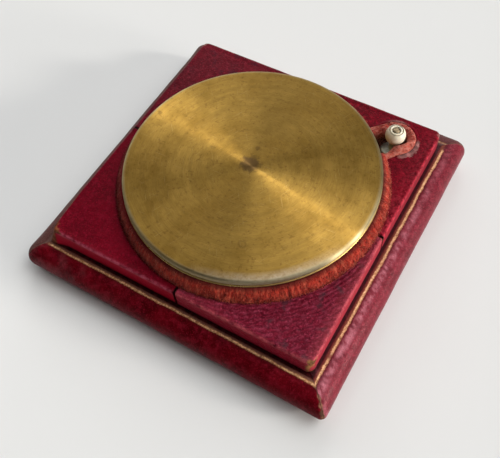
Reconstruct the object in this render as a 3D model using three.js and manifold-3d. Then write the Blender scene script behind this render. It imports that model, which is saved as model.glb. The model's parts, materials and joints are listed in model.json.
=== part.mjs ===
// Desk compass in the lower half of its leather-covered fitted case.
// Millimetres, +Z up, front at -Y, origin at the middle of the base's underside.
import * as THREE from 'three';
import { mergeVertices } from 'three/addons/utils/BufferGeometryUtils.js';
import Module from 'manifold-3d';

const wasm = await Module();
wasm.setup();

// Facets
const ROUND_STEPS = 72;
const SMALL_STEPS = 20;
const CORNER_STEPS = 4;
const NOSE_STEPS = 10;
const EDGE_STEPS = 3;

// Clearances
const FIT = 0.3; // between pieces that bear on each other
const OVERRUN = 1; // cutters reach this far past what they cut
const EPS = 0.001; // a ring this small closes on its own axis

// Case, outside
const BASE_MARGIN = 5.9; // base's outline beyond the block's
const NOSE_REACH = 4.7; // how far the rounded edge runs in from the outline
const NOSE_LIFT = 0.25; // underside of the edge strips above the table
const BASE_CORNER = 3.4;
const BLOCK_RIM = 1.6; // leather left between the well and the block's side
const BLOCK_RISE = 5.1; // block's top above the ledge
const WELL_SHIFT = new THREE.Vector2(0.45, -0.05); // the well isn't quite in the block's middle
const BLOCK_CORNER = 1.5;
const BLOCK_EDGE = 0.6; // rounding of the block's top edge
const LEATHER = 0.7;
const SLIT = 0.45; // between two corner covers
const MITRE = 0.3; // between two edge strips

// Case, inside
const PANEL_THICKNESS = 0.6;
const PANEL_INSET = 0.6; // panel's rim inside the start of the base's rounded edge
const BOARD_THICKNESS = 1.3;
const SUEDE = 0.5;
const LINING = 0.95; // wall of the well's lining
const FLANGE_REACH = 1.1; // lining's flange beyond its wall, over the block
const COLLAR_GAP = 0.2; // top of the suede collar below the drum's bead
const COLLAR_TOP = 0.55; // thickness of the collar's upper edge

// Knob recess, a lobe of the well
const LEVER_ANGLE = THREE.MathUtils.degToRad(48);
const KNOB_ROOM = 1.0; // round the knob, in the recess
const RECESS_RIM = 1.94; // block left between the recess and the block's side
const LOBE_WALL = 1.0;
const LOBE_FLARE = 0.7; // the lining opens by this much at its top
const LOBE_FLARE_DEPTH = 1.6;

// Drum
const BEAD_REACH = 0.65; // bead and lid beyond the drum's wall
const LID_RISE = 5.1; // lid's top above the block's top
const LID_THICKNESS = 0.8;
const LID_EDGE = 1.2; // radius and height of the lid's rounded edge
const LID_SKIRT = 1.6;
const LID_SKIRT_WALL = 0.6;
const LID_SKIRT_GAP = 0.5; // skirt above the ring that holds the glass
const BEAD_HEIGHT = 0.4;
const DRUM_RADIUS = 27.9;
const DRUM_FLOOR = 1.0;
const DRUM_FOOT = 0.8; // rounding of the drum's lower edge
const RIM_WALL = 0.9;
const GLASS_LEDGE = 0.8;
const DIAL_LEDGE = 1.4;

// Dial, glass and needle
const DIAL_THICKNESS = 0.6;
const DIAL_HOLE = 3.0;
const DEGREE_RING_WIDTH = 4.7;
const DEGREE_RING_THICKNESS = 0.8;
const GLASS_THICKNESS = 0.8;
const SNAP_RING_WIDTH = 0.9;
const SNAP_RING_THICKNESS = 0.8;
const SNAP_RING_GAP = 3.0;
const POST_RADIUS = 0.6;
const POST_FOOT_RADIUS = 1.4;
const POST_FOOT_THICKNESS = 0.5;
const POST_TAPER = 1.8;
const POST_TIP = 0.05;
const NEEDLE_TIP_GAP = 0.7; // needle's tip to the degree ring
const NEEDLE_LIFT = 1.0; // room for the needle to rise under the glass
const NEEDLE_WIDTH = 4.4;
const NEEDLE_THICKNESS = 0.4;
const CAP_HEIGHT = 2.0;
const CAP_FLANGE = 0.3;
const CAP_FLANGE_RADIUS = 2.2;
const CAP_NECK_RADIUS = 1.3;
const CAP_DOME = 0.5;
const CAP_RECESS_RADIUS = 0.9;
const CAP_RECESS_TOP = 0.1;

// Arrest
const FULCRUM_OUT = 14; // lever's pin from the compass's axis
const ARM_CLEARANCE = 1.3; // floor to the underside of the arm
const ARM_THICKNESS = 0.8;
const ARM_WIDTH = 3.0;
const ARM_NECK = 2.2;
const EYE_RADIUS = 2.6;
const EYE_HOLE = 1.5;
const LEVER_BOSS = 1.1;
const PIN_RADIUS = 0.4;
const BRACKET_THICKNESS = 0.5;
const BRACKET_LENGTH = 6.4;
const BRACKET_WIDTH = 8.4;
const EAR_THICKNESS = 0.8;
const EAR_RADIUS = 1.3;
const SLOT_SIDE_CLEARANCE = 0.5;
const SLOT_SILL = 0.1; // slot's sill above the drum's floor
const SLOT_HEADROOM = 0.4; // slot above the arm at rest
const POST_BOSS_RADIUS = 1.9; // pale boss under the knob
const POST_BOSS_INSET = 1.2; // its round end is nearer the drum than the knob
const POST_BOSS_EDGE = 0.5;
const COLLAR_BORE = 0.9;
const COLLAR_RADIUS = 1.4;
const COLLAR_FLANGE_RADIUS = 2.4;
const COLLAR_FLANGE = 0.4;
const SPRING_GAP = 1.4; // spring to the lever's bracket
const SPRING_WIDTH = 2.4;
const SPRING_THICKNESS = 0.3;
const SPRING_FOOT = 3.6;
const SPRING_RISER = 1.2;
const SPRING_REACH = 1.2; // spring's tip beyond the lever's middle
const SPRING_CLEARANCE = 0.6; // above the lever, which rises when pressed
const SCREW_HEAD_RADIUS = 0.9;
const SCREW_HEAD_HEIGHT = 0.45;
const SCREW_RADIUS = 0.35;

// Knob
const KNOB_BALL = 2.4;
const KNOB_CENTRE_RISE = 1.4; // ball's centre above the block's top
const KNOB_COLLAR_RISE = 0.05; // collar's top above the ball's shoulder
const KNOB_COLLAR_RADIUS = 1.45;
const KNOB_GROOVE = 0.35;
const KNOB_GROOVE_WIDTH = 0.2;
const KNOB_FOOT_RADIUS = 1.16; // flat underside
const KNOB_PIN_RADIUS = 0.5;
const KNOB_PIN_HEAD_RADIUS = 0.85;
const KNOB_PIN_HEAD = 0.45;
const KNOB_PIN_DEPTH = 2.6; // pin below the knob, in the boss

// Levels, from the table up
const boardBottom = PANEL_THICKNESS + FIT;
const boardTop = boardBottom + BOARD_THICKNESS;
const coreBottom = boardTop + FIT;
const suedeTop = coreBottom + SUEDE;
const drumBottom = suedeTop + FIT;
const drumFloor = drumBottom + DRUM_FLOOR;
const armBottom = drumFloor + ARM_CLEARANCE;
const armTop = armBottom + ARM_THICKNESS;
const armMiddle = armBottom + ARM_THICKNESS / 2;
const springTop = armTop + SPRING_CLEARANCE + SPRING_THICKNESS;
const dialLedge = springTop;
const dialBottom = dialLedge + FIT;
const dialTop = dialBottom + DIAL_THICKNESS;
const degreeRingBottom = dialTop + FIT;
const collarBottom = armTop + FIT;
const collarLift = degreeRingBottom + DEGREE_RING_THICKNESS;
const capBottom = collarLift + FIT;
const capTop = capBottom + CAP_HEIGHT;
const needleBottom = capBottom + CAP_FLANGE + FIT;
const glassLedge = capTop + NEEDLE_LIFT;
const glassBottom = glassLedge + FIT;
const glassTop = glassBottom + GLASS_THICKNESS;
const snapRingTop = glassTop + FIT + SNAP_RING_THICKNESS;
const lidBottom = snapRingTop + LID_SKIRT_GAP + LID_SKIRT;
const lidTop = lidBottom + LID_EDGE;
const rimTop = lidBottom - FIT;
const beadBottom = rimTop - BEAD_HEIGHT;
const collarTop = beadBottom - COLLAR_GAP;
const blockTop = lidTop - LID_RISE;
const collarRise = collarTop - blockTop;
const ledgeTop = blockTop - BLOCK_RISE;
const coverBottom = ledgeTop + FIT;
const coverUnderside = blockTop - LEATHER;
const coreTop = coverUnderside - FIT;
const knobCentre = blockTop + KNOB_CENTRE_RISE;
const knobBottom = knobCentre - Math.sqrt(KNOB_BALL ** 2 - KNOB_FOOT_RADIUS ** 2);
const knobGrooveRadius = KNOB_COLLAR_RADIUS + KNOB_GROOVE_WIDTH;
const knobTop = knobCentre + Math.sqrt(KNOB_BALL ** 2 - knobGrooveRadius ** 2) + KNOB_COLLAR_RISE;
const bossTop = knobBottom - FIT;

// Radii and half widths
const liningInner = DRUM_RADIUS + FIT + SUEDE / 10;
const liningOuter = liningInner + LINING;
const wellRadius = liningOuter + FIT;
const flangeRadius = liningOuter + FLANGE_REACH;
const coverHole = flangeRadius + FIT;
const blockHalf = coverHole + BLOCK_RIM;
const coreHalf = blockHalf - LEATHER - FIT;
const baseHalf = blockHalf + BASE_MARGIN;
const panelHalf = baseHalf - NOSE_REACH - PANEL_INSET;
const lobeRadius = KNOB_BALL + KNOB_ROOM + LOBE_WALL + FIT;
const knobOut = (blockHalf - RECESS_RIM - lobeRadius) / Math.sin(LEVER_ANGLE);
const lidRadius = DRUM_RADIUS + BEAD_REACH;
const rimInner = DRUM_RADIUS - RIM_WALL;
const glassLedgeInner = rimInner - GLASS_LEDGE;
const dialLedgeInner = glassLedgeInner - DIAL_LEDGE;
const dialRadius = glassLedgeInner - FIT;
const glassRadius = rimInner - FIT;
const skirtRadius = rimInner - FIT;
const degreeRingInner = dialRadius - DEGREE_RING_WIDTH;
const needleHalfLength = degreeRingInner - NEEDLE_TIP_GAP;
const springOut = FULCRUM_OUT - BRACKET_LENGTH / 2 - SPRING_GAP - SPRING_WIDTH / 2;
const pinHole = PIN_RADIUS + FIT;
const earInside = ARM_WIDTH / 2 + FIT;

// Colours as the object shows them
const RED_LEATHER = { color: 0x6d0f1d, roughness: 0.55, metalness: 0 };
const DARK_LEATHER = { color: 0x430710, roughness: 0.5, metalness: 0 };
const SUEDE_RED = { color: 0x8a4038, roughness: 0.95, metalness: 0 };
const WOOD = { color: 0x8a6a45, roughness: 0.8, metalness: 0 };
const BRASS = { color: 0x92763a, roughness: 0.35, metalness: 1 };
const SILVERED = { color: 0xc9c8c0, roughness: 0.5, metalness: 0.8 };
const STEEL = { color: 0x8d8f93, roughness: 0.35, metalness: 1 };
const BLUED_STEEL = { color: 0x1f2f5c, roughness: 0.3, metalness: 1 };
const BONE = { color: 0xd9c8a6, roughness: 0.5, metalness: 0 };
const PALE_METAL = { color: 0xb0b3a0, roughness: 0.6, metalness: 0.6 };
const GLASS = { color: 0xe6eeee, roughness: 0.05, metalness: 0, transparent: true, opacity: 0.3 };

// Solids and booleans
function solidOf(geometry) {
  const bare = new THREE.BufferGeometry();
  bare.setAttribute('position', geometry.getAttribute('position'));
  bare.setIndex(geometry.getIndex());
  const merged = mergeVertices(bare, EPS);
  const vertProperties = new Float32Array(merged.getAttribute('position').array);
  const triVerts = new Uint32Array(merged.getIndex().array);
  return new wasm.Manifold(new wasm.Mesh({ numProp: 3, vertProperties, triVerts }));
}

function geometryOf(solid) {
  const mesh = solid.getMesh();
  const geometry = new THREE.BufferGeometry();
  const points = new Float32Array(mesh.numVert * 3);
  for (let v = 0; v < mesh.numVert; v += 1) {
    for (let k = 0; k < 3; k += 1) points[v * 3 + k] = mesh.vertProperties[v * mesh.numProp + k];
  }
  geometry.setAttribute('position', new THREE.BufferAttribute(points, 3));
  geometry.setIndex(new THREE.BufferAttribute(new Uint32Array(mesh.triVerts), 1));
  return geometry;
}

// A turned piece: [radius, height] points, starting and ending on the axis, or a closed ring of them.
function turned(points, steps = ROUND_STEPS) {
  const closed = points[0][0] > 0;
  const profile = points.map(([r, z]) => new THREE.Vector2(r, z));
  if (closed) profile.push(profile[0].clone());
  if (THREE.ShapeUtils.area(profile) < 0) profile.reverse();
  const geometry = new THREE.LatheGeometry(profile, steps);
  geometry.rotateX(Math.PI / 2);
  return solidOf(cleaned(geometry));
}

// Drops the triangles that a turned profile collapses on its axis, and closes the seam.
function cleaned(geometry) {
  const bare = new THREE.BufferGeometry();
  bare.setAttribute('position', geometry.getAttribute('position'));
  bare.setIndex(geometry.getIndex());
  const merged = mergeVertices(bare, EPS);
  const index = merged.getIndex().array;
  const kept = [];
  for (let t = 0; t < index.length; t += 3) {
    const [a, b, c] = [index[t], index[t + 1], index[t + 2]];
    if (a !== b && b !== c && c !== a) kept.push(a, b, c);
  }
  merged.setIndex(kept);
  return merged;
}

function disc(radius, low, high, steps = ROUND_STEPS) {
  return turned([[0, low], [radius, low], [radius, high], [0, high]], steps);
}

function prism(shape, low, high) {
  const geometry = new THREE.ExtrudeGeometry(shape, {
    depth: high - low,
    bevelEnabled: false,
    curveSegments: SMALL_STEPS,
  });
  geometry.translate(0, 0, low);
  return solidOf(cleaned(indexed(geometry)));
}

function indexed(geometry) {
  const bare = new THREE.BufferGeometry();
  bare.setAttribute('position', geometry.getAttribute('position'));
  return mergeVertices(bare, EPS);
}

function block(xs, ys, zs) {
  const geometry = new THREE.BoxGeometry(xs[1] - xs[0], ys[1] - ys[0], zs[1] - zs[0]);
  geometry.translate((xs[0] + xs[1]) / 2, (ys[0] + ys[1]) / 2, (zs[0] + zs[1]) / 2);
  return solidOf(geometry);
}

// A round bar along Y.
function crossBar(radius, x, z, halfLength) {
  const geometry = new THREE.CylinderGeometry(radius, radius, halfLength * 2, SMALL_STEPS);
  geometry.translate(x, 0, z);
  return solidOf(geometry);
}

// One ring of a loft: a square with rounded corners, round a centre of its own.
function squareRing({ half, corner, z, centre = new THREE.Vector2() }) {
  const ring = [];
  for (let side = 0; side < 4; side += 1) {
    const turn = side * Math.PI / 2;
    const middle = new THREE.Vector2(half - corner, half - corner).rotateAround(new THREE.Vector2(), turn);
    for (let step = 0; step <= CORNER_STEPS; step += 1) {
      const angle = turn + step / CORNER_STEPS * Math.PI / 2;
      ring.push(new THREE.Vector3(
        centre.x + middle.x + corner * Math.cos(angle),
        centre.y + middle.y + corner * Math.sin(angle),
        z,
      ));
    }
  }
  return ring;
}

// Joins rings of equal length, bottom to top. A closed loft comes back to its first ring.
function loft(rings, closed = false) {
  const count = rings[0].length;
  const positions = rings.flat().flatMap((p) => [p.x, p.y, p.z]);
  const index = [];
  const bands = closed ? rings.length : rings.length - 1;
  for (let band = 0; band < bands; band += 1) {
    const low = band * count;
    const high = ((band + 1) % rings.length) * count;
    for (let k = 0; k < count; k += 1) {
      const next = (k + 1) % count;
      index.push(low + k, low + next, high + next, low + k, high + next, high + k);
    }
  }
  if (!closed) {
    const top = (rings.length - 1) * count;
    for (let k = 1; k < count - 1; k += 1) {
      index.push(0, k + 1, k);
      index.push(top, top + k, top + k + 1);
    }
  }
  const geometry = new THREE.BufferGeometry();
  geometry.setAttribute('position', new THREE.Float32BufferAttribute(positions, 3));
  geometry.setIndex(index);
  return solidOf(geometry);
}

function squarePlate(half, corner, low, high, centre) {
  return loft([low, high].map((z) => squareRing({ half, corner, z, centre })));
}

// Outline of the knob recess in the lever's frame: from the axis out to a round end.
function lobeShape(radius) {
  const shape = new THREE.Shape();
  shape.moveTo(0, -radius);
  shape.absarc(knobOut, 0, radius, -Math.PI / 2, Math.PI / 2, false);
  shape.lineTo(0, radius);
  shape.closePath();
  return shape;
}

function lobe(radius, low, high) {
  return prism(lobeShape(radius), low, high);
}

const LEVER_DEGREES = THREE.MathUtils.radToDeg(LEVER_ANGLE);

function alongLever(solid) {
  return solid.rotate([0, 0, LEVER_DEGREES]);
}

// The scene graph
const compassCase = new THREE.Group();
const onAxis = new THREE.Group(); // round the compass's own axis
onAxis.position.set(WELL_SHIFT.x, WELL_SHIFT.y, 0);
const blockMiddle = WELL_SHIFT.clone().negate(); // seen from that axis
const onLever = new THREE.Group(); // +X runs out along the lever
onLever.rotation.z = LEVER_ANGLE;
compassCase.add(onAxis);
onAxis.add(onLever);

function add(parent, name, solid, finish) {
  const mesh = new THREE.Mesh(geometryOf(solid), new THREE.MeshStandardMaterial(finish));
  mesh.name = name;
  parent.add(mesh);
  return mesh;
}

// Base edge: a bullnose run round the base, mitred into four strips
function baseEdges() {
  const inner = coreHalf + FIT;
  const step = panelHalf + FIT;
  const noseHeight = (ledgeTop - NOSE_LIFT) / 2;
  const noseMiddle = NOSE_LIFT + noseHeight;
  const sharp = BLOCK_CORNER / 2;
  const rings = [
    squareRing({ half: inner, corner: sharp, z: boardBottom }),
    squareRing({ half: step, corner: sharp, z: boardBottom }),
    squareRing({ half: step, corner: sharp, z: NOSE_LIFT }),
  ];
  for (let k = 0; k <= NOSE_STEPS; k += 1) {
    const angle = (k / NOSE_STEPS - 1 / 2) * Math.PI;
    const out = Math.cos(angle);
    rings.push(squareRing({
      half: baseHalf - NOSE_REACH * (1 - out),
      corner: sharp + (BASE_CORNER - sharp) * out,
      z: noseMiddle + noseHeight * Math.sin(angle),
    }));
  }
  rings.push(squareRing({ half: inner, corner: sharp, z: ledgeTop }));
  const frame = loft(rings, true);
  const reach = baseHalf + OVERRUN;
  const wedge = new THREE.Shape([
    new THREE.Vector2(0, -MITRE / 2),
    new THREE.Vector2(-reach, -reach - MITRE / 2),
    new THREE.Vector2(reach, -reach - MITRE / 2),
  ]);
  const cutter = prism(wedge, -OVERRUN, ledgeTop + OVERRUN);
  ['front', 'right', 'back', 'left'].forEach((side, k) => {
    const strip = frame.intersect(cutter.rotate([0, 0, k * 90]));
    add(compassCase, `base_edge_${side}`, strip, DARK_LEATHER);
  });
}

// Bottom panel, board and wooden block with the well
function caseBody() {
  add(compassCase, 'bottom_panel', squarePlate(panelHalf, BLOCK_CORNER, 0, PANEL_THICKNESS), DARK_LEATHER);
  add(compassCase, 'base_board', squarePlate(coreHalf, BLOCK_CORNER, boardBottom, boardTop), WOOD);
  const well = disc(wellRadius, coreBottom - OVERRUN, coreTop + OVERRUN);
  const recess = alongLever(lobe(lobeRadius, coreBottom - OVERRUN, coreTop + OVERRUN));
  const core = squarePlate(coreHalf, BLOCK_CORNER, coreBottom, coreTop, blockMiddle);
  add(onAxis, 'block_core', core.subtract(well.add(recess)), WOOD);
}

// Four leather pieces over the block, one on each corner, with slits between them
function cornerCovers() {
  const rings = [squareRing({ half: blockHalf, corner: BLOCK_CORNER, z: coverBottom, centre: blockMiddle })];
  for (let k = 0; k <= EDGE_STEPS; k += 1) {
    const angle = k / EDGE_STEPS * Math.PI / 2;
    const inset = BLOCK_EDGE * (1 - Math.cos(angle));
    rings.push(squareRing({
      half: blockHalf - inset,
      corner: BLOCK_CORNER - inset,
      z: blockTop - BLOCK_EDGE * (1 - Math.sin(angle)),
      centre: blockMiddle,
    }));
  }
  const inside = squarePlate(coreHalf + FIT, BLOCK_CORNER, coverBottom - OVERRUN, coverUnderside, blockMiddle);
  const hole = disc(coverHole, coverBottom - OVERRUN, blockTop + OVERRUN);
  const recess = alongLever(lobe(lobeRadius, coverBottom - OVERRUN, blockTop + OVERRUN));
  const skin = loft(rings).subtract(inside.add(hole).add(recess));
  const reach = blockHalf + OVERRUN;
  const corner = block([SLIT / 2, reach], [SLIT / 2, reach], [0, blockTop + OVERRUN]);
  ['right', 'far', 'left', 'near'].forEach((place, k) => {
    const cover = skin.intersect(corner.rotate([0, 0, k * 90]));
    add(onAxis, `corner_cover_${place}`, cover, RED_LEATHER);
  });
}

// Suede: floor of the well, its wall with the standing collar, and the recess's wall
function linings() {
  const floorLow = coreBottom;
  const tongue = alongLever(lobe(lobeRadius - FIT, floorLow, suedeTop));
  const floor = disc(liningOuter, floorLow, suedeTop).add(tongue);
  add(onAxis, 'well_floor_suede', floor, SUEDE_RED);

  const low = suedeTop + FIT;
  const outerTop = liningInner + COLLAR_TOP;
  const slope = flangeRadius - outerTop;
  const wall = turned([
    [liningInner, low],
    [liningOuter, low],
    [liningOuter, coverUnderside],
    [flangeRadius, coverUnderside],
    [flangeRadius, blockTop],
    [flangeRadius - slope / 4, blockTop + collarRise / 2],
    [outerTop + slope / 4, collarTop - collarRise / 8],
    [outerTop, collarTop],
    [liningInner, collarTop],
  ]);
  const opening = alongLever(lobe(lobeRadius, low - OVERRUN, collarTop + OVERRUN));
  add(onAxis, 'well_lining', wall.subtract(opening), SUEDE_RED);

  const outside = lobe(lobeRadius - FIT, low, blockTop);
  const inner = lobeRadius - FIT - LOBE_WALL;
  const hollow = loft([
    lobeRing(inner, low - OVERRUN),
    lobeRing(inner, blockTop - LOBE_FLARE_DEPTH),
    lobeRing(inner + LOBE_FLARE, blockTop),
    lobeRing(inner + LOBE_FLARE, blockTop + OVERRUN),
  ]);
  const round = disc(wellRadius, low - OVERRUN, blockTop + OVERRUN);
  const lining = outside.subtract(hollow).subtract(round);
  add(onLever, 'knob_recess_lining', lining, SUEDE_RED);
}

function lobeRing(radius, z) {
  const ring = [new THREE.Vector3(0, -radius, z)];
  for (let k = 0; k <= SMALL_STEPS; k += 1) {
    const angle = (k / SMALL_STEPS - 1 / 2) * Math.PI;
    ring.push(new THREE.Vector3(knobOut + radius * Math.cos(angle), radius * Math.sin(angle), z));
  }
  ring.push(new THREE.Vector3(0, radius, z));
  return ring;
}

// Drum of the compass: stepped inside for the dial and the glass, with the lever's slot
function drum() {
  const foot = DRUM_RADIUS - DRUM_FOOT;
  const profile = [[0, drumBottom], [foot, drumBottom], [DRUM_RADIUS, drumBottom + DRUM_FOOT]];
  profile.push(
    [DRUM_RADIUS, beadBottom],
    [lidRadius - BEAD_HEIGHT / 4, beadBottom],
    [lidRadius, beadBottom + BEAD_HEIGHT / 2],
    [lidRadius - BEAD_HEIGHT / 4, rimTop],
    [rimInner, rimTop],
    [rimInner, glassLedge],
    [glassLedgeInner, glassLedge],
    [glassLedgeInner, dialLedge],
    [dialLedgeInner, dialLedge],
    [dialLedgeInner, drumFloor],
    [0, drumFloor],
  );
  const sill = drumFloor + SLOT_SILL;
  const halfWidth = ARM_WIDTH / 2 + SLOT_SIDE_CLEARANCE;
  const slot = block(
    [dialLedgeInner - OVERRUN, DRUM_RADIUS + OVERRUN],
    [-halfWidth, halfWidth],
    [sill, armTop + SLOT_HEADROOM],
  );
  add(onAxis, 'drum_bowl', turned(profile).subtract(alongLever(slot)), BRASS);
}

// Lid: a disc with a rounded edge and a skirt that plugs into the drum's rim
function lid() {
  const profile = [[0, lidTop]];
  for (let k = 0; k <= EDGE_STEPS * 2; k += 1) {
    const angle = (1 - k / EDGE_STEPS / 2) * Math.PI / 2;
    profile.push([
      lidRadius - LID_EDGE * (1 - Math.cos(angle)),
      lidBottom + LID_EDGE * Math.sin(angle),
    ]);
  }
  profile.push(
    [skirtRadius, lidBottom],
    [skirtRadius, lidBottom - LID_SKIRT],
    [skirtRadius - LID_SKIRT_WALL, lidBottom - LID_SKIRT],
    [skirtRadius - LID_SKIRT_WALL, lidTop - LID_THICKNESS],
    [0, lidTop - LID_THICKNESS],
  );
  add(onAxis, 'lid', turned(profile), BRASS);
}

// Dial plate, degree ring, glass and the split ring that holds the glass
function dialAndGlass() {
  const plate = turned([
    [DIAL_HOLE, dialBottom],
    [dialRadius, dialBottom],
    [dialRadius, dialTop],
    [DIAL_HOLE, dialTop],
  ]);
  add(onAxis, 'dial_plate', plate, SILVERED);
  const ringTop = degreeRingBottom + DEGREE_RING_THICKNESS;
  const ring = turned([
    [degreeRingInner, degreeRingBottom],
    [dialRadius, degreeRingBottom],
    [dialRadius, ringTop],
    [degreeRingInner + DEGREE_RING_THICKNESS, ringTop],
  ]);
  add(onAxis, 'degree_ring', ring, SILVERED);
  add(onAxis, 'glass', disc(glassRadius, glassBottom, glassTop), GLASS);
  const snapLow = glassTop + FIT;
  const snap = turned([
    [glassRadius - SNAP_RING_WIDTH, snapLow],
    [glassRadius, snapLow],
    [glassRadius, snapRingTop],
    [glassRadius - SNAP_RING_WIDTH, snapRingTop],
  ]);
  const split = block(
    [-SNAP_RING_GAP / 2, SNAP_RING_GAP / 2],
    [0, glassRadius + OVERRUN],
    [snapLow - OVERRUN, snapRingTop + OVERRUN],
  );
  add(onAxis, 'glass_snap_ring', snap.subtract(split), BRASS);
}

// Pivot post with its sharp tip, the needle and the needle's cap
function needleAndPivot() {
  const footLow = drumFloor + FIT;
  const tip = capBottom + CAP_HEIGHT / 2;
  const post = turned([
    [0, footLow],
    [POST_FOOT_RADIUS, footLow],
    [POST_FOOT_RADIUS, footLow + POST_FOOT_THICKNESS],
    [POST_RADIUS, footLow + POST_FOOT_THICKNESS],
    [POST_RADIUS, tip - POST_TAPER],
    [POST_TIP, tip],
    [0, tip],
  ], SMALL_STEPS);
  add(onAxis, 'pivot_post', post, STEEL);

  const recessTop = tip + FIT;
  const cap = turned([
    [0, recessTop],
    [CAP_RECESS_TOP, recessTop],
    [CAP_RECESS_RADIUS, capBottom],
    [CAP_FLANGE_RADIUS, capBottom],
    [CAP_FLANGE_RADIUS, capBottom + CAP_FLANGE],
    [CAP_NECK_RADIUS, capBottom + CAP_FLANGE],
    [CAP_NECK_RADIUS, capTop - CAP_DOME],
    [CAP_NECK_RADIUS / 2, capTop - CAP_DOME / 4],
    [0, capTop],
  ], SMALL_STEPS);
  add(onAxis, 'needle_cap', cap, BRASS);

  const half = NEEDLE_WIDTH / 2;
  const blade = new THREE.Shape();
  blade.moveTo(0, needleHalfLength);
  blade.lineTo(-half, 0);
  blade.lineTo(0, -needleHalfLength);
  blade.lineTo(half, 0);
  blade.closePath();
  const eye = new THREE.Path();
  eye.absarc(0, 0, CAP_NECK_RADIUS + FIT, 0, Math.PI * 2, true);
  blade.holes.push(eye);
  add(onAxis, 'needle', prism(blade, needleBottom, needleBottom + NEEDLE_THICKNESS), BLUED_STEEL);
}

// Lever: an eye round the pivot post, an arm on a cross pin, and the boss that carries the knob
function lever() {
  const outline = new THREE.Shape();
  outline.moveTo(0, -ARM_NECK / 2);
  outline.lineTo(FULCRUM_OUT, -ARM_WIDTH / 2);
  outline.lineTo(knobOut, -ARM_WIDTH / 2);
  outline.lineTo(knobOut, ARM_WIDTH / 2);
  outline.lineTo(FULCRUM_OUT, ARM_WIDTH / 2);
  outline.lineTo(0, ARM_NECK / 2);
  outline.closePath();
  const arm = prism(outline, armBottom, armTop);
  const eye = disc(EYE_RADIUS, armBottom, armTop, SMALL_STEPS);
  const hub = crossBar(LEVER_BOSS, FULCRUM_OUT, armMiddle, ARM_WIDTH / 2);
  const inset = [0, POST_BOSS_EDGE / 4, POST_BOSS_EDGE];
  const drop = [POST_BOSS_EDGE, POST_BOSS_EDGE / 4, 0];
  const bossRings = [bossRing(POST_BOSS_RADIUS, armBottom)];
  inset.forEach((amount, k) => bossRings.push(bossRing(POST_BOSS_RADIUS - amount, bossTop - drop[k])));
  const boss = loft(bossRings);
  const eyeHole = disc(EYE_HOLE, armBottom - OVERRUN, armTop + OVERRUN, SMALL_STEPS);
  const pinBore = crossBar(pinHole, FULCRUM_OUT, armMiddle, ARM_WIDTH);
  const boreBottom = bossTop - KNOB_PIN_DEPTH - FIT;
  const knobBore = disc(KNOB_PIN_RADIUS + FIT, boreBottom, bossTop + OVERRUN, SMALL_STEPS)
    .translate([knobOut, 0, 0]);
  const solid = arm.add(eye).add(hub).add(boss).subtract(eyeHole.add(pinBore).add(knobBore));
  add(onLever, 'arrest_lever', solid, PALE_METAL);
}

// Outline of the boss: two round ends, one under the knob and one nearer the drum.
function bossRing(radius, z) {
  const ring = [];
  const half = SMALL_STEPS / 2;
  for (let end = 0; end < 2; end += 1) {
    const middle = knobOut - end * POST_BOSS_INSET;
    for (let k = 0; k <= half; k += 1) {
      const angle = (k / half - 1 / 2 + end) * Math.PI;
      ring.push(new THREE.Vector3(middle + radius * Math.cos(angle), radius * Math.sin(angle), z));
    }
  }
  return ring;
}

// Bracket with two ears, the cross pin through them, and its two screws
function bracket() {
  const low = drumFloor + FIT;
  const high = low + BRACKET_THICKNESS;
  const halfLength = BRACKET_LENGTH / 2;
  const halfWidth = BRACKET_WIDTH / 2;
  const xs = [FULCRUM_OUT - halfLength, FULCRUM_OUT + halfLength];
  const windowHalf = LEVER_BOSS + FIT * 2;
  const plate = block(xs, [-halfWidth, halfWidth], [low, high]);
  const opening = block(
    [FULCRUM_OUT - windowHalf, FULCRUM_OUT + windowHalf],
    [-earInside, earInside],
    [low - OVERRUN, high + OVERRUN],
  );
  const earOutside = earInside + EAR_THICKNESS;
  let solid = plate;
  for (const side of [-1, 1]) {
    const ys = [side * earInside, side * earOutside].sort((a, b) => a - b);
    const post = block([FULCRUM_OUT - EAR_RADIUS, FULCRUM_OUT + EAR_RADIUS], ys, [low, armMiddle]);
    const round = crossBar(EAR_RADIUS, FULCRUM_OUT, armMiddle, EAR_THICKNESS / 2)
      .translate([0, (ys[0] + ys[1]) / 2, 0]);
    solid = solid.add(post).add(round);
  }
  const bore = crossBar(pinHole, FULCRUM_OUT, armMiddle, halfWidth);
  const screwY = (earOutside + halfWidth) / 2 + SCREW_RADIUS;
  const screwPlaces = [-1, 1].map((side) => [FULCRUM_OUT + side * halfLength / 2, side * screwY, 0]);
  solid = solid.subtract(opening).subtract(bore);
  screwPlaces.forEach((place) => {
    const hole = disc(SCREW_RADIUS + FIT, low - OVERRUN, high + OVERRUN, SMALL_STEPS);
    solid = solid.subtract(hole.translate(place));
  });
  add(onLever, 'lever_bracket', solid, BRASS);
  add(onLever, 'lever_pin', crossBar(PIN_RADIUS, FULCRUM_OUT, armMiddle, earOutside + FIT), STEEL);
  screwPlaces.forEach((place, k) => {
    add(onLever, `bracket_screw_${k + 1}`, screw(low, high).translate(place), STEEL);
  });
}

function screw(low, seat) {
  return turned([
    [0, low],
    [SCREW_RADIUS, low],
    [SCREW_RADIUS, seat + FIT],
    [SCREW_HEAD_RADIUS, seat + FIT],
    [SCREW_HEAD_RADIUS, seat + FIT + SCREW_HEAD_HEIGHT],
    [0, seat + FIT + SCREW_HEAD_HEIGHT],
  ], SMALL_STEPS);
}

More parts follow.
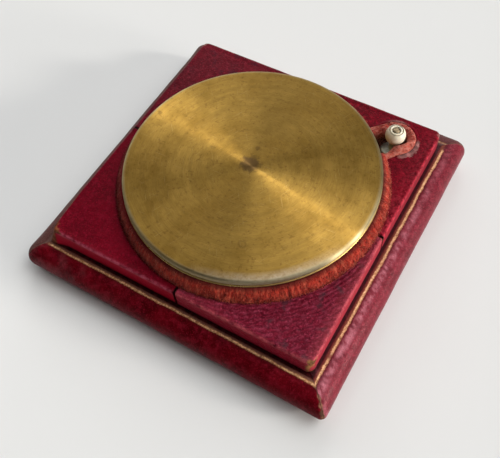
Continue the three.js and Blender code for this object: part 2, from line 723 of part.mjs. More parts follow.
// Leaf spring: a foot on the floor, a riser beside the lever and a leaf that bears on it from above
function spring() {
  const low = drumFloor + FIT;
  const t = SPRING_THICKNESS;
  const high = springTop - t;
  const footIn = ARM_WIDTH / 2 + SPRING_RISER + SPRING_RISER;
  const leafIn = ARM_WIDTH / 2 + SPRING_RISER;
  const outline = new THREE.Shape([
    new THREE.Vector2(footIn + SPRING_FOOT, low),
    new THREE.Vector2(footIn + SPRING_FOOT, low + t),
    new THREE.Vector2(footIn + t / 2, low + t),
    new THREE.Vector2(leafIn + t / 2, high + t),
    new THREE.Vector2(-SPRING_REACH, high + t),
    new THREE.Vector2(-SPRING_REACH, high),
    new THREE.Vector2(leafIn - t / 2, high),
    new THREE.Vector2(footIn - t / 2, low),
  ]);
  const strip = prism(outline, springOut - SPRING_WIDTH / 2, springOut + SPRING_WIDTH / 2)
    .rotate([90, 0, 90]);
  const place = [springOut, footIn + SPRING_FOOT / 2 + t, 0];
  const hole = disc(SCREW_RADIUS + FIT, low - OVERRUN, low + t + OVERRUN, SMALL_STEPS).translate(place);
  add(onLever, 'arrest_spring', strip.subtract(hole), STEEL);
  add(onLever, 'spring_screw', screw(low, low + t).translate(place), STEEL);
}

// Collar that the lever's eye raises along the post until it lifts the needle
function liftingCollar() {
  const collar = turned([
    [COLLAR_BORE, collarBottom],
    [COLLAR_FLANGE_RADIUS, collarBottom],
    [COLLAR_FLANGE_RADIUS, collarBottom + COLLAR_FLANGE],
    [COLLAR_RADIUS, collarBottom + COLLAR_FLANGE],
    [COLLAR_RADIUS, collarLift],
    [COLLAR_BORE, collarLift],
  ], SMALL_STEPS);
  add(onAxis, 'lifting_collar', collar, BRASS);
}

// Bone knob: a ball with a flat top, a cut ring and a raised collar round its pin
function knob() {
  const bore = KNOB_PIN_RADIUS + FIT;
  const headBore = KNOB_PIN_HEAD_RADIUS + FIT / 2;
  const seat = knobTop - KNOB_PIN_HEAD - FIT;
  const shoulder = Math.acos(knobGrooveRadius / KNOB_BALL);
  const underside = -Math.acos(KNOB_FOOT_RADIUS / KNOB_BALL);
  const profile = [[bore, knobBottom]];
  for (let k = 0; k <= NOSE_STEPS; k += 1) {
    const angle = underside + (shoulder - underside) * k / NOSE_STEPS;
    profile.push([KNOB_BALL * Math.cos(angle), knobCentre + KNOB_BALL * Math.sin(angle)]);
  }
  profile.push(
    [KNOB_COLLAR_RADIUS + KNOB_GROOVE_WIDTH / 2, knobTop - KNOB_GROOVE],
    [KNOB_COLLAR_RADIUS, knobTop],
    [headBore, knobTop],
    [headBore, seat],
    [bore, seat],
  );
  const out = [knobOut, 0, 0];
  add(onLever, 'knob', turned(profile, SMALL_STEPS).translate(out), BONE);
  const pin = turned([
    [0, bossTop - KNOB_PIN_DEPTH],
    [KNOB_PIN_RADIUS, bossTop - KNOB_PIN_DEPTH],
    [KNOB_PIN_RADIUS, seat + FIT],
    [KNOB_PIN_HEAD_RADIUS, seat + FIT],
    [KNOB_PIN_HEAD_RADIUS, knobTop],
    [0, knobTop],
  ], SMALL_STEPS);
  add(onLever, 'knob_pin', pin.translate(out), BRASS);
}

baseEdges();
caseBody();
cornerCovers();
linings();
drum();
lid();
dialAndGlass();
needleAndPivot();
lever();
bracket();
spring();
liftingCollar();
knob();

export default compassCase;
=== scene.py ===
"""Looks of a desk compass in its red leather fitted case. Lengths in mm, +Z up, front at -Y."""
import json
from math import acos, asin, atan2, cos, degrees, dist, pi, radians, sin, sqrt

import bmesh
import bpy
import numpy as np
from mathutils import Matrix, Vector

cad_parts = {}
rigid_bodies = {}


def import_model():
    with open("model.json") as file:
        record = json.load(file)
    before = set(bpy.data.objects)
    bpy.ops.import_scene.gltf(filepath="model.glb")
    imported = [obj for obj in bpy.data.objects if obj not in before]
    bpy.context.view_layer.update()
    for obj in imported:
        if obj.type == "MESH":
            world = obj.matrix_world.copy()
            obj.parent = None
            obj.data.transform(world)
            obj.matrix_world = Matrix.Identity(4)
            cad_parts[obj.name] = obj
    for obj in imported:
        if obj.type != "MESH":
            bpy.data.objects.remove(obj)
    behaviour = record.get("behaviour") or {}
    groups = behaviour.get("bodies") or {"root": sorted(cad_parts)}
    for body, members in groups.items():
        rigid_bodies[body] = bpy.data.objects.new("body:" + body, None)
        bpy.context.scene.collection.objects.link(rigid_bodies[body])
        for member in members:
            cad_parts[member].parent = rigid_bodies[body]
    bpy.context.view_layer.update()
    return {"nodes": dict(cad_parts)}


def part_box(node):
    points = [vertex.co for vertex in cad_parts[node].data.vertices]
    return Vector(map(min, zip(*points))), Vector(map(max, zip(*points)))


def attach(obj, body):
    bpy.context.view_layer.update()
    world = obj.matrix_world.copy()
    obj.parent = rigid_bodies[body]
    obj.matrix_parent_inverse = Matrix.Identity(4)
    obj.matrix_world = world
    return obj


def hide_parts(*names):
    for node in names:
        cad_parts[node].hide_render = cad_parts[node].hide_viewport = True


MM = 0.001

# View of the photograph
CAMERA_PLACE = Vector((50.60, -75.53, 138.75))
VIEW_DIRECTION = Vector((-0.29867, 0.43316, -0.85040))
CAMERA_ROLL = radians(5.193)
LENS, SENSOR = 49.774, 36.0
NEAREST, FARTHEST = 5, 20000  # what the camera can see

# Light: bright patches of the room with soft edges, and low lights with firm ones
ROOM_EVEN = 0.02
BACKDROP, BACKDROP_HEIGHT = 0.78, 4.0  # brightness, and degrees up to which metal and glass show it
ROOM = (  # bearing, height and reach in degrees, brightness at the middle
    (42.6, 52.8, 28.2, 3.92),
    (115.2, 32.5, 25.4, 3.45),
    (0.2, 72.7, 29.9, 1.84),
    (160.2, 35.0, 11.4, 3.31),
)
LOW_LIGHTS = (  # bearing, height and width in degrees, share of what reaches the floor
    (-0.2, 8.0, 11.9, 0.062),
    (17.0, 15.9, 8.0, 0.145),
)
FLOOR_HALF = 3000

# Case, where the CAD model's boxes don't give a size
FIT = 0.3
LEATHER = 0.7
NOSE_REACH = 4.7
BASE_CORNERS = np.array((2.4, 2.6, 2.8, 1.3))  # right, far, left, near
BLOCK_CORNER, BLOCK_EDGE = 1.5, 0.45
STEP_INSET = 0.3
LOBE_RADIUS = 4.7
LINING_WALL = 0.95
SLIT_HALF, MITRE_HALF = 0.225, 0.04
GILT_OUT, GILT_HALF = 33.62, 0.33  # gilt line from the base's middle, and half its width
FIBRES = {"collar": (11000, 0.3, 0.75), "recess": (1700, 0.2, 0.45)}  # number, shortest and longest
FIBRE_HALF = (0.05, 0.085)  # half of their thickness at the root, least and most

# Compass
BEAD_REACH = 0.65
KNOB_BALL, KNOB_FOOT = 2.33, 1.16
PRESSED_OUT = 0.61  # how far the knob moves out when it is pressed
ARM_THICKNESS = 0.8
FULCRUM_OUT = 14
BOSS_RADIUS, BOSS_DROP, BOSS_INSET = 1.9, 1.9, 1.2
NEEDLE_HALF = (2.2, 20.5)


def rgb(red, green, blue):
    """A colour as the screen shows it, from 0 to 255, made linear."""
    linear = []
    for value in (red, green, blue):
        value /= 255
        linear.append(value / 12.92 if value <= 0.04045 else ((value + 0.055) / 1.055) ** 2.4)
    return (*linear, 1.0)


def shade(colour, amount):
    """A colour made darker or lighter by that factor."""
    return tuple(value * amount for value in colour)


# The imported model, and the sizes that its boxes give

def box(node):
    """The low and the high corner of a CAD node."""
    return np.array([tuple(corner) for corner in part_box(node)]) / MM


def levels(node):
    return box(node)[:, 2]


def half_of(node):
    return np.ptp(box(node)[:, 0]) / 2


for left_over in list(bpy.data.objects):
    bpy.data.objects.remove(left_over)
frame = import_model()

AXIS = box("lid").mean(axis=0)[:2]
BASE_HALF = box("base_edge_right")[1, 0]
NOSE_LOW, LEDGE_TOP = levels("base_edge_right")
BOARD_LOW = levels("base_board")[0]
BLOCK_HALF = box("corner_cover_right")[1, 0]
COVER_LOW, BLOCK_TOP = levels("corner_cover_right")
COVER_UNDER = BLOCK_TOP - LEATHER
LID_BOTTOM, LID_TOP = levels("lid")
LID_RADIUS = half_of("lid")
LID_SHOWN = LID_RADIUS - 0.15
LID_LOW = levels("drum_bowl")[1] + FIT
SKIRT_RADIUS = half_of("glass")
FLANGE = half_of("well_lining")
COVER_HOLE = FLANGE + 0.04
LINING_LOW, COLLAR_TOP = levels("well_lining")
DRUM_RADIUS = LID_RADIUS - BEAD_REACH
LINING_INNER = DRUM_RADIUS + 0.35
KNOB_PLACE = box("knob").mean(axis=0)[:2]
KNOB_OUT = dist(KNOB_PLACE, AXIS)
LEVER_WAY = (KNOB_PLACE - AXIS) / KNOB_OUT
LEVER_SIDE = np.array([-LEVER_WAY[1], LEVER_WAY[0]])
LEVER_ANGLE = atan2(LEVER_WAY[1], LEVER_WAY[0])
LEVER_DEGREES = degrees(LEVER_ANGLE)
ARM_MIDDLE = levels("lever_pin").mean()
ARM_LOW, ARM_TOP = ARM_MIDDLE - ARM_THICKNESS / 2, ARM_MIDDLE + ARM_THICKNESS / 2


# Numbers

def hashed(x, y, z, seed):
    """A number from -1 to 1 for each point of a whole-number lattice."""
    key = (x * 374761393 + y * 668265263 + z * 1440662683 + seed * 974634777) & 0xFFFFFFFF
    key = ((key ^ (key >> 13)) * 1274126177) & 0xFFFFFFFF
    return ((key ^ (key >> 16)) & 0xFFFF) / 32767.5 - 1


def noise(points, size, seed=0, octaves=1):
    """Smooth noise from about -1 to 1 at the points, with lumps of that size."""
    total = np.zeros(len(points))
    for octave in range(octaves):
        scaled = points / size * 2 ** octave
        cell = np.floor(scaled).astype(np.int64)
        part = scaled - cell
        part = part * part * (3 - 2 * part)
        for corner in range(8):
            step = np.array([corner & 1, corner >> 1 & 1, corner >> 2])
            weight = np.prod(np.where(step, part, 1 - part), axis=1)
            total += weight * hashed(*(cell + step).T, seed + octave) / 2 ** octave
    return total


def unit(values):
    """Values held between 0 and 1."""
    return np.clip(values, 0, 1)


def ways_of(lines):
    """The directions of the rows of an array, each of length 1."""
    return lines / np.linalg.norm(lines, axis=1)[:, None]


def fade(distance, reach):
    """1 at no distance, falling smoothly to 0 at reach."""
    near = unit(1 - distance / reach)
    return near * near * (3 - 2 * near)


def band(values, middle, reach):
    """1 at the middle, falling smoothly to 0 at reach on both sides."""
    return fade(np.abs(values - middle), reach)


def far_out(points):
    """How far from the middle of the case each point is, measured square to its sides."""
    return np.abs(points[:, :2]).max(axis=1)


def from_slits(points):
    """How far each point is from the middle of the nearest slit between the covers."""
    return np.abs(points[:, :2] - AXIS).min(axis=1)


def from_knob(points):
    return np.hypot(*(points[:, :2] - KNOB_PLACE).T)


def facing(points, way, reach):
    """1 for points that lie that way from the knob's place, falling to 0 at reach degrees round."""
    off = points[:, :2] - KNOB_PLACE
    bearing = np.degrees(np.arctan2(off[:, 1], off[:, 0]))
    return fade(np.abs((bearing - way + 180) % 360 - 180), reach)


def lengths_of(points):
    """How far along an open line each of its points is."""
    return np.r_[0, np.cumsum(np.linalg.norm(np.diff(points, axis=0), axis=1))]


def at_lengths(stations, lengths, points):
    return np.column_stack([np.interp(stations, lengths, column) for column in points.T])


def along(points, step):
    """An open line resampled at even steps."""
    points = np.asarray(points, float)
    lengths = lengths_of(points)
    return at_lengths(np.linspace(0, lengths[-1], max(2, int(lengths[-1] / step) + 1)), lengths, points)


def spots_on(line, places):
    """Points of a line at places counted in its points, and the number of the point before each."""
    at, share = places.astype(int), (places % 1)[:, None]
    return line[at] * (1 - share) + line[at + 1] * share, at


def softened(points, rounds):
    """An open line with its corners eased and its ends kept."""
    points = np.array(points, float)
    for _ in range(rounds):
        points[1:-1] = (points[:-2] + 2 * points[1:-1] + points[2:]) / 4
    return points


def polar(middle, radius, angles):
    """Points of the plan, from how far and which way they lie from a middle."""
    return np.stack([middle[0] + radius * np.cos(angles), middle[1] + radius * np.sin(angles)], axis=-1)


def arc(middle, radius, start, end, count):
    """Points on an arc between two angles in degrees."""
    return polar(middle, radius, np.radians(np.linspace(start, end, count)))


def outline_at(bearings, half, corners):
    """Where rays from the origin at those bearings meet a square with rounded corners."""
    outline = []
    for turn, corner in enumerate(np.broadcast_to(corners, 4)):
        spot = arc((0, 0), (half - corner) * sqrt(2), 90 * turn + 45, 0, 1)[0]
        outline.append(arc(spot, max(corner, 1e-6), 90 * turn, 90 * turn + 90, 48))
    outline = np.vstack(outline)
    outline = along(np.vstack([outline, outline[:1]]), 0.05)[:-1]
    found = np.arctan2(outline[:, 1], outline[:, 0])
    order = np.argsort(found)
    reach = np.interp(bearings, found[order], np.hypot(*outline.T)[order], period=2 * pi)
    return polar((0, 0), reach, bearings)


def spun(flat, angle):
    """Points turned about the origin, in plan."""
    c, s = cos(angle), sin(angle)
    return np.column_stack([flat[:, 0] * c - flat[:, 1] * s, flat[:, 0] * s + flat[:, 1] * c, *flat[:, 2:].T])


def at_height(flat, height):
    """Points of the plan lifted to one height, or each to its own."""
    return np.column_stack([flat, np.broadcast_to(height, len(flat))])


def lever_points(u, v):
    """Points of the plan, from how far they lie along the lever and beside it."""
    return np.outer(u, LEVER_WAY) + np.outer(v, LEVER_SIDE)


# Meshes

def quads(rows, columns, close_rows=False, close_columns=False):
    """Faces of a grid of points stored row by row."""
    row = np.arange(rows if close_rows else rows - 1)[:, None]
    column = np.arange(columns if close_columns else columns - 1)[None, :]
    next_row, next_column = (row + 1) % rows, (column + 1) % columns
    corners = [row * columns + column, row * columns + next_column,
               next_row * columns + next_column, next_row * columns + column]
    return np.stack(np.broadcast_arrays(*corners), axis=-1).reshape(-1, 4).tolist()


def bar(rows):
    """Points and faces of a bar: rows are lines along it, one after another round its section."""
    count = len(rows[0])
    ends = np.arange(len(rows)) * count
    faces = [face[::-1] for face in quads(len(rows), count, close_rows=True)]
    return np.vstack(rows), faces + [ends.tolist(), (ends + count - 1)[::-1].tolist()]


def stack(rings):
    """Points and faces of a solid whose closed rings lie one above another, bottom to top."""
    count = len(rings[0])
    first = np.arange(count)
    faces = quads(len(rings), count, close_columns=True)
    return np.vstack(rings), faces + [first[::-1].tolist(), (first + (len(rings) - 1) * count).tolist()]


def turned(profile, middle, steps=256):
    """Points and faces of a turned solid. The profile runs from axis to axis, or is a closed ring."""
    profile = np.asarray(profile, float)
    on_axis = profile[0][0] == 0
    inner = profile[1:-1] if on_axis else profile
    angles = np.linspace(0, 2 * pi, steps, endpoint=False)
    points = at_height(polar(middle, inner[:, :1], angles).reshape(-1, 2), np.repeat(inner[:, 1], steps))
    faces = quads(len(inner), steps, close_rows=not on_axis, close_columns=True)
    if on_axis:
        first, last, base = len(points), len(points) + 1, (len(inner) - 1) * steps
        points = np.vstack([points, [[*middle, profile[0][1]], [*middle, profile[-1][1]]]])
        for k in range(steps):
            faces.append([first, (k + 1) % steps, k])
            faces.append([last, base + k, base + (k + 1) % steps])
    return points, faces


def eased_prism(outline, low, high, ease):
    """A plate of that outline with its top and bottom edges eased."""
    away = ways_of(outline - outline.mean(axis=0))
    rings = [(ease, low), (0, low + ease), (0, high - ease), (ease * 0.3, high - ease * 0.3), (ease, high)]
    return stack([at_height(outline - away * inset, level) for inset, level in rings])


def mesh_of(name, points, faces):
    mesh = bpy.data.meshes.new(name)
    mesh.from_pydata((np.asarray(points) * MM).tolist(), [], faces)
    mesh.update()
    return mesh


def shown(name, data):
    thing = bpy.data.objects.new(name, data)
    bpy.context.scene.collection.objects.link(thing)
    return thing


def baked(thing):
    """Points and faces of an object as its modifiers leave it."""
    bpy.context.view_layer.update()
    graph = bpy.context.evaluated_depsgraph_get()
    mesh = bpy.data.meshes.new_from_object(thing.evaluated_get(graph))
    return np.array([point.co for point in mesh.vertices]) / MM, [list(face.vertices) for face in mesh.polygons]


def carved(adds, cuts):
    """The first solid with others joined to it and cut from it."""
    things = [shown("solid", mesh_of("solid", *shape)) for shape in adds + cuts]
    for k, other in enumerate(things[1:], 1):
        step = things[0].modifiers.new("step", "BOOLEAN")
        step.object, step.solver = other, "EXACT"
        step.operation = "UNION" if k < len(adds) else "DIFFERENCE"
    shape = baked(things[0])
    for thing in things:
        bpy.data.objects.remove(thing)
    return shape


def piece(name, shape, material, body, node, slot, crease=40, **marks):
    """A mesh that rides on a body and stands for a CAD node. marks are values at its points."""
    mesh = mesh_of(name, *shape)
    work = bmesh.new()
    work.from_mesh(mesh)
    bmesh.ops.recalc_face_normals(work, faces=work.faces)
    work.to_mesh(mesh)
    work.free()
    for mark, values in marks.items():
        layer = mesh.attributes.new(mark, "FLOAT", "POINT")
        layer.data.foreach_set("value", unit(values).astype(np.float32))
    mesh.shade_smooth()
    mesh.set_sharp_from_angle(angle=radians(crease))
    mesh.materials.append(material)
    thing = shown(name, mesh)
    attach(thing, body)
    if node:
        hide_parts(node)
    return thing


# Materials

class Nodes:
    """The nodes of a material or a world. Colours of three numbers are as the screen shows them."""

    def __init__(self, owner, surface):
        owner.use_nodes = True
        self.owner, self.tree = owner, owner.node_tree
        self.surface = self.tree.nodes[surface]

    def join(self, socket, value):
        if isinstance(value, bpy.types.NodeSocket):
            self.tree.links.new(value, socket)
        elif socket.type == "RGBA" and len(value) == 3:
            socket.default_value = rgb(*value)
        else:
            socket.default_value = value

    def put(self, key, value):
        self.join(self.surface.inputs[key], value)

    def node(self, kind, *values, **settings):
        made = self.tree.nodes.new("ShaderNode" + kind)
        for key, value in settings.items():
            setattr(made, key, value)
        for key, value in enumerate(values):
            self.join(made.inputs[key], value)
        return made

    def math(self, operation, *values):
        return self.node("Math", *values, operation=operation).outputs[0]

    def add(self, first, second):
        return self.math("ADD", first, second)

    def less(self, first, second):
        return self.math("SUBTRACT", first, second)

    def times(self, first, second):
        return self.math("MULTIPLY", first, second)

    def most(self, first, second):
        return self.math("MAXIMUM", first, second)

    def size(self, value):
        return self.math("ABSOLUTE", value)

    def vector(self, operation, *values):
        made = self.node("VectorMath", *values, operation=operation)
        return made.outputs["Value" if operation in ("LENGTH", "DISTANCE", "DOT_PRODUCT") else "Vector"]

    def parts(self, vector):
        return self.node("SeparateXYZ", vector).outputs

    def span(self, value, low, high, to_low=0.0, to_high=1.0, kind="LINEAR"):
        return self.node("MapRange", value, low, high, to_low, to_high, interpolation_type=kind).outputs[0]


class Material(Nodes):
    """A material whose colour is laid on in coats."""

    def __init__(self, name, colour, **values):
        super().__init__(bpy.data.materials.new(name), "Principled BSDF")
        self.colour = colour
        self.place = self.vector("MULTIPLY", self.node("TexCoord").outputs["Object"], (1 / MM,) * 3)
        for key, value in values.items():
            self.put(key.replace("_", " "), value)

    def mark(self, name):
        return self.node("Attribute", attribute_name=name).outputs["Fac"]

    def noise(self, size, detail=2.0, rough=0.5, place=None, output="Fac"):
        return self.node("TexNoise", place or self.place, 0.0, 1 / size, detail, rough).outputs[output]

    def mix(self, amount, first, second):
        made = self.node("Mix", amount, data_type="RGBA", clamp_factor=True)
        self.join(made.inputs[6], first)
        self.join(made.inputs[7], second)
        return made.outputs[2]

    def coat(self, amount, colour):
        self.colour = self.mix(amount, self.colour, colour)

    def wash(self, value, low, high, colour, most=1.0):
        """A coat that thickens as the value goes from low to high."""
        self.coat(self.span(value, low, high, 0, most), colour)

    def bump(self, height, depth, below=None):
        made = self.node("Bump")
        made.inputs["Distance"].default_value = depth * MM
        self.join(made.inputs["Height"], height)
        if below is not None:
            self.join(made.inputs["Normal"], below)
        return made.outputs["Normal"]

    def from_axis(self):
        """The place in plan measured from the compass's axis, its distance out and the angle round."""
        flat = self.vector("MULTIPLY", self.vector("SUBTRACT", self.place, (*AXIS, 0)), (1, 1, 0))
        parts = self.parts(flat)
        return flat, self.vector("LENGTH", flat), self.math("ARCTAN2", parts[1], parts[0])

    def done(self, rough, height=None, depth=0):
        """The material, with its roughness and with bumps of that height."""
        self.put("Base Color", self.colour)
        self.put("Roughness", rough)
        if height is not None:
            self.put("Normal", self.bump(height, depth))
        return self.owner


def leather(name, deep, middle, light, grain=0.42, depth=0.03, gloss=0.5, shine=0.1,
            worn=(150, 105, 95), pit=0.5, ribs=None, gilt=None, dust=None, stains=None, pale=None, lift=None):
    """Dyed goatskin: mottled and grained, rubbed where its wear mark says, darkened where its darkening mark says,
    which is mostly painted shade in creases and slits.
    """
    s = Material(name, deep, Specular_IOR_Level=shine, Specular_Tint=(1.0, 0.4, 0.45, 1.0))
    mottle, patches, fine = s.noise(5.5, 4, 0.6), s.noise(1.3, 3, 0.6), s.noise(0.3, 2, 0.6)
    s.wash(mottle, 0.36, 0.64, middle)
    s.wash(patches, 0.46, 0.72, light, 0.8)
    push = s.vector("SUBTRACT", s.noise(1.1, output="Color"), (0.5,) * 3)
    shaken = s.vector("ADD", s.place, s.vector("MULTIPLY", push, (0.7,) * 3))
    cells = s.node("TexVoronoi", shaken, 0.0, 1 / grain, feature="SMOOTH_F1").outputs["Distance"]
    hollow = s.span(cells, 0.25, 0.75)
    s.coat(s.times(hollow, pit), shade(deep, 0.4))
    # painted glints: lighter specks scattered over the grain
    s.wash(fine, 0.56, 0.72, shade(light, 1.3), 0.5)
    normal = s.bump(s.less(s.times(fine, 0.5), hollow), depth)
    if ribs:
        wander = s.times(s.noise(2.4, 3, 0.6), 15.0)
        wave = s.math("SINE", s.add(s.times(s.from_axis()[1], 2 * pi / ribs), wander))
        # painted shade in the troughs of the wrinkles, which are also bumped
        s.coat(s.span(wave, -0.9, 0.3, 0.38, 0), shade(deep, 0.62))
        normal = s.bump(wave, 0.05, normal)
    if stains:
        spots = s.noise(3.4, 3, 0.55, s.vector("ADD", s.place, (31, 0, 0)))
        s.wash(spots, 0.57, 0.68, stains, 0.8)
    if lift:
        # painted light: the block's lit side faces made lighter where the lift mark says
        s.coat(s.mark("lift"), lift)
    if pale:
        # painted highlights and sheen where the pale mark says, broken up by the fine grain
        s.coat(s.times(s.mark("pale"), s.span(fine, 0.3, 0.7, 0.55, 1)), pale)
    broken = s.span(s.add(s.mark("worn"), s.times(s.noise(0.9, 4, 0.7), 0.7)), 0.7, 1.0)
    s.coat(broken, s.mix(s.span(s.noise(1.6, 3, 0.6), 0.4, 0.6), worn, shade(worn, 0.62)))
    if dust:
        s.coat(s.times(s.mark("dust"), s.span(fine, 0.35, 0.6, 0.55, 1)), dust)
    # near black where the darkening mark says: painted shade in creases and slits
    s.coat(s.times(s.mark("dirt"), s.span(patches, 0.3, 0.6, 0.6, 1)), (24, 4, 4))
    rough = s.add(s.span(mottle, 0.3, 0.7, gloss - 0.07, gloss + 0.07), s.times(broken, 0.2))
    if gilt:
        mask, worn_off = gilding(s)
        s.coat(mask, s.mix(worn_off, *gilt))
        s.put("Metallic", s.times(mask, 0.35))
        rough = s.span(mask, 0, 1, rough, 0.42)
    s.put("Normal", normal)
    return s.done(rough)


def gilding(s):
    """Where the gold line lies on the base, broken where it is rubbed away, and how dull it is."""
    x, y, _ = s.parts(s.place)
    sway = s.span(s.noise(4), 0.3, 0.7, -0.12, 0.12)
    off = s.size(s.less(s.less(s.most(s.size(x), s.size(y)), GILT_OUT), sway))
    ragged = s.add(off, s.span(s.noise(0.35, 3, 0.7), 0.3, 0.7, -0.11, 0.14))
    line = s.span(ragged, GILT_HALF * 1.1, GILT_HALF * 0.7)
    kept = s.span(s.noise(1.1, 4, 0.75, s.vector("ADD", s.place, (0, 70, 0))), 0.56, 0.64, 1, 0.3)
    core = s.times(s.span(ragged, GILT_HALF * 0.7, GILT_HALF * 0.2), s.span(s.noise(0.5, 3, 0.7), 0.4, 0.55))
    return s.times(s.times(line, kept), s.mark("gilt")), s.less(1.0, core)


def suede(name, dark, middle, light, dust=None):
    """Napped leather: its fibres run out from the well's axis, in streaks of darker dye, with painted shade on the
    well's left side and where its darkening mark says.
    """
    s = Material(name, dark, Specular_IOR_Level=0.1, Sheen_Weight=0.25, Sheen_Roughness=0.5,
                 Sheen_Tint=(1.0, 0.5, 0.4, 1.0))
    _, out, angle = s.from_axis()
    slope = s.times(s.less(s.parts(s.place)[2], out), 0.22)
    unrolled = s.node("CombineXYZ", s.times(angle, LINING_INNER), slope, 0.0).outputs[0]
    fibres, tufts = s.noise(0.34, 3, 0.65, unrolled), s.noise(1.1, 2, 0.6, unrolled)
    s.wash(fibres, 0.38, 0.62, middle)
    s.wash(tufts, 0.5, 0.7, light, 0.5)
    s.wash(tufts, 0.44, 0.34, shade(dark, 0.6), 0.6)
    s.wash(s.noise(9), 0.4, 0.65, dark, 0.35)
    # darkening mark: random dark fibres, and painted shade under the lid's rim, on the well's left and deep in the
    # recess
    s.coat(s.mark("dirt"), (42, 12, 12))
    s.coat(s.mark("worn"), (204, 112, 90))
    # painted shade: deeper red round the well's left side
    s.coat(s.times(s.span(s.size(s.add(angle, -0.35)), 2.0, 2.75), 0.7), (122, 6, 20))
    if dust:
        s.wash(s.noise(0.55, 4, 0.7), 0.44, 0.6, dust, 0.75)
        s.wash(s.noise(0.9, 3, 0.7), 0.56, 0.7, shade(dark, 0.7), 0.7)
    return s.done(s.span(fibres, 0.3, 0.7, 0.85, 1.0), s.add(fibres, tufts), 0.16)


# Marks on the lid: place from its middle, radius, whether it is a ring, strength, colour
LID_MARKS = (
    ((-0.6, 0.3, 0), 2.6, False, 0.75, (92, 70, 48)),
    ((-1.3, 4.9, 0), 0.7, False, 0.5, (110, 80, 44)),
    ((8.2, -17.9, 0), 1.1, True, 0.5, (112, 84, 44)),
    ((-26.3, 3.3, 0), 0.7, False, 0.5, (104, 78, 44)),
)


def lid_brass():
    """Spun brass gone golden brown: rings from the lathe, blotches, a thumbed middle and a few marks, with a painted
    reflection near its front rim.
    """
    s = Material("brass_lid", (158, 123, 55), Metallic=1.0, Anisotropic=1.0, Anisotropic_Rotation=0.25)
    flat, out, angle = s.from_axis()
    turned_at = s.node("CombineXYZ", out, s.times(angle, 1.2), 0.0).outputs[0]
    rings, bands = s.noise(0.16, 4, 0.7, turned_at), s.noise(1.2, 2, 0.5, turned_at)
    cloud, speck = s.noise(7, 4, 0.62), s.noise(0.8, 3, 0.7)
    s.wash(cloud, 0.36, 0.64, (194, 155, 76))
    s.wash(bands, 0.42, 0.62, (138, 108, 52), 0.25)
    s.wash(speck, 0.55, 0.7, (118, 84, 40), 0.5)
    for way, shift in ((0.4, 0), (1.5, 200), (2.5, 400)):  # scratches
        moved = s.vector("ADD", s.place, (shift, 0, 0))
        run = s.node("VectorRotate", moved, (0, 0, 0), (0, 0, 1), way).outputs[0]
        line = s.noise(0.14, 1, 0.5, s.vector("MULTIPLY", run, (1, 0.03, 1)))
        s.wash(line, 0.71, 0.78, (216, 186, 122), 0.35)
    s.coat(s.span(rings, 0.35, 0.65, 0.3, 0), (84, 60, 28))
    for place, radius, ring, strength, stain in LID_MARKS:
        ragged = s.span(s.noise(0.9, 3, 0.7), 0.3, 0.7, -0.25 * radius, 0.25 * radius)
        off = s.add(s.vector("DISTANCE", flat, place), ragged)
        inside = s.span(off, radius, radius * 0.6)
        if ring:
            inside = s.times(inside, s.span(off, radius * 0.35, radius * 0.7))
        s.coat(s.times(inside, strength), stain)
    # painted reflection: a pale band near the rim towards the front right
    rim_reflection = s.span(s.size(s.add(angle, 0.92)), 0.62, 0.2)
    rim_reflection = s.times(rim_reflection, s.span(out, LID_SHOWN - 2.4, LID_SHOWN - 0.9))
    s.coat(s.times(rim_reflection, s.span(speck, 0.35, 0.6, 0.75, 0.4)), (208, 190, 164))
    edge = s.span(out, LID_SHOWN - 0.9, LID_SHOWN - 0.2)
    s.coat(s.times(edge, s.span(cloud, 0.3, 0.7, 0.35, 0.7)), (176, 170, 140))
    s.put("Tangent", s.node("Tangent", direction_type="RADIAL", axis="Z").outputs[0])
    rough = s.add(s.span(cloud, 0.3, 0.7, 0.4, 0.46), s.span(rings, 0.3, 0.7, -0.03, 0.03))
    return s.done(rough, rings, 0.004)


def metal(name, colour, tarnish, rough=0.3, size=1.5):
    """Plain metal with tarnish in patches and fine handling marks."""
    s = Material(name, colour, Metallic=1.0)
    patches, fine = s.noise(size, 4, 0.65), s.noise(0.15, 2, 0.6)
    s.wash(patches, 0.42, 0.66, tarnish)
    uneven = s.span(patches, 0.3, 0.7, rough - 0.06, rough + 0.12)
    return s.done(s.add(uneven, s.span(fine, 0.3, 0.7, -0.04, 0.04)), fine, 0.004)


def bone():
    """Turned bone: cream, with fine dark pores, darker where its darkening mark says: the knob lays it in its groove
    and as painted shade towards its foot.
    """
    s = Material("bone", (226, 214, 186), Specular_IOR_Level=0.45, Subsurface_Weight=0.12,
                 Subsurface_Scale=1.0, Subsurface_Radius=(0.6 * MM, 0.4 * MM, 0.3 * MM))
    cloud, pores = s.noise(1.6, 3, 0.6), s.noise(0.12, 2, 0.7, s.vector("MULTIPLY", s.place, (1, 1, 0.3)))
    s.wash(cloud, 0.35, 0.65, (240, 231, 208))
    s.wash(pores, 0.62, 0.75, (160, 132, 92), 0.35)
    # darkening mark: darker in the groove, and painted shade at the foot
    s.coat(s.mark("dirt"), (74, 58, 38))
    return s.done(s.span(cloud, 0.3, 0.7, 0.32, 0.45), pores, 0.006)


def wood(name, dark, light):
    """Plain softwood inside the case, its grain along X."""
    s = Material(name, dark, Specular_IOR_Level=0.3)
    run = s.vector("MULTIPLY", s.place, (0.12, 1, 1))
    grain, pores = s.noise(1.1, 4, 0.6, run), s.noise(0.22, 2, 0.6, run)
    s.wash(grain, 0.35, 0.65, light)
    s.wash(pores, 0.6, 0.75, shade(dark, 0.7), 0.5)
    return s.done(s.span(grain, 0.3, 0.7, 0.6, 0.8), s.add(grain, pores), 0.04)


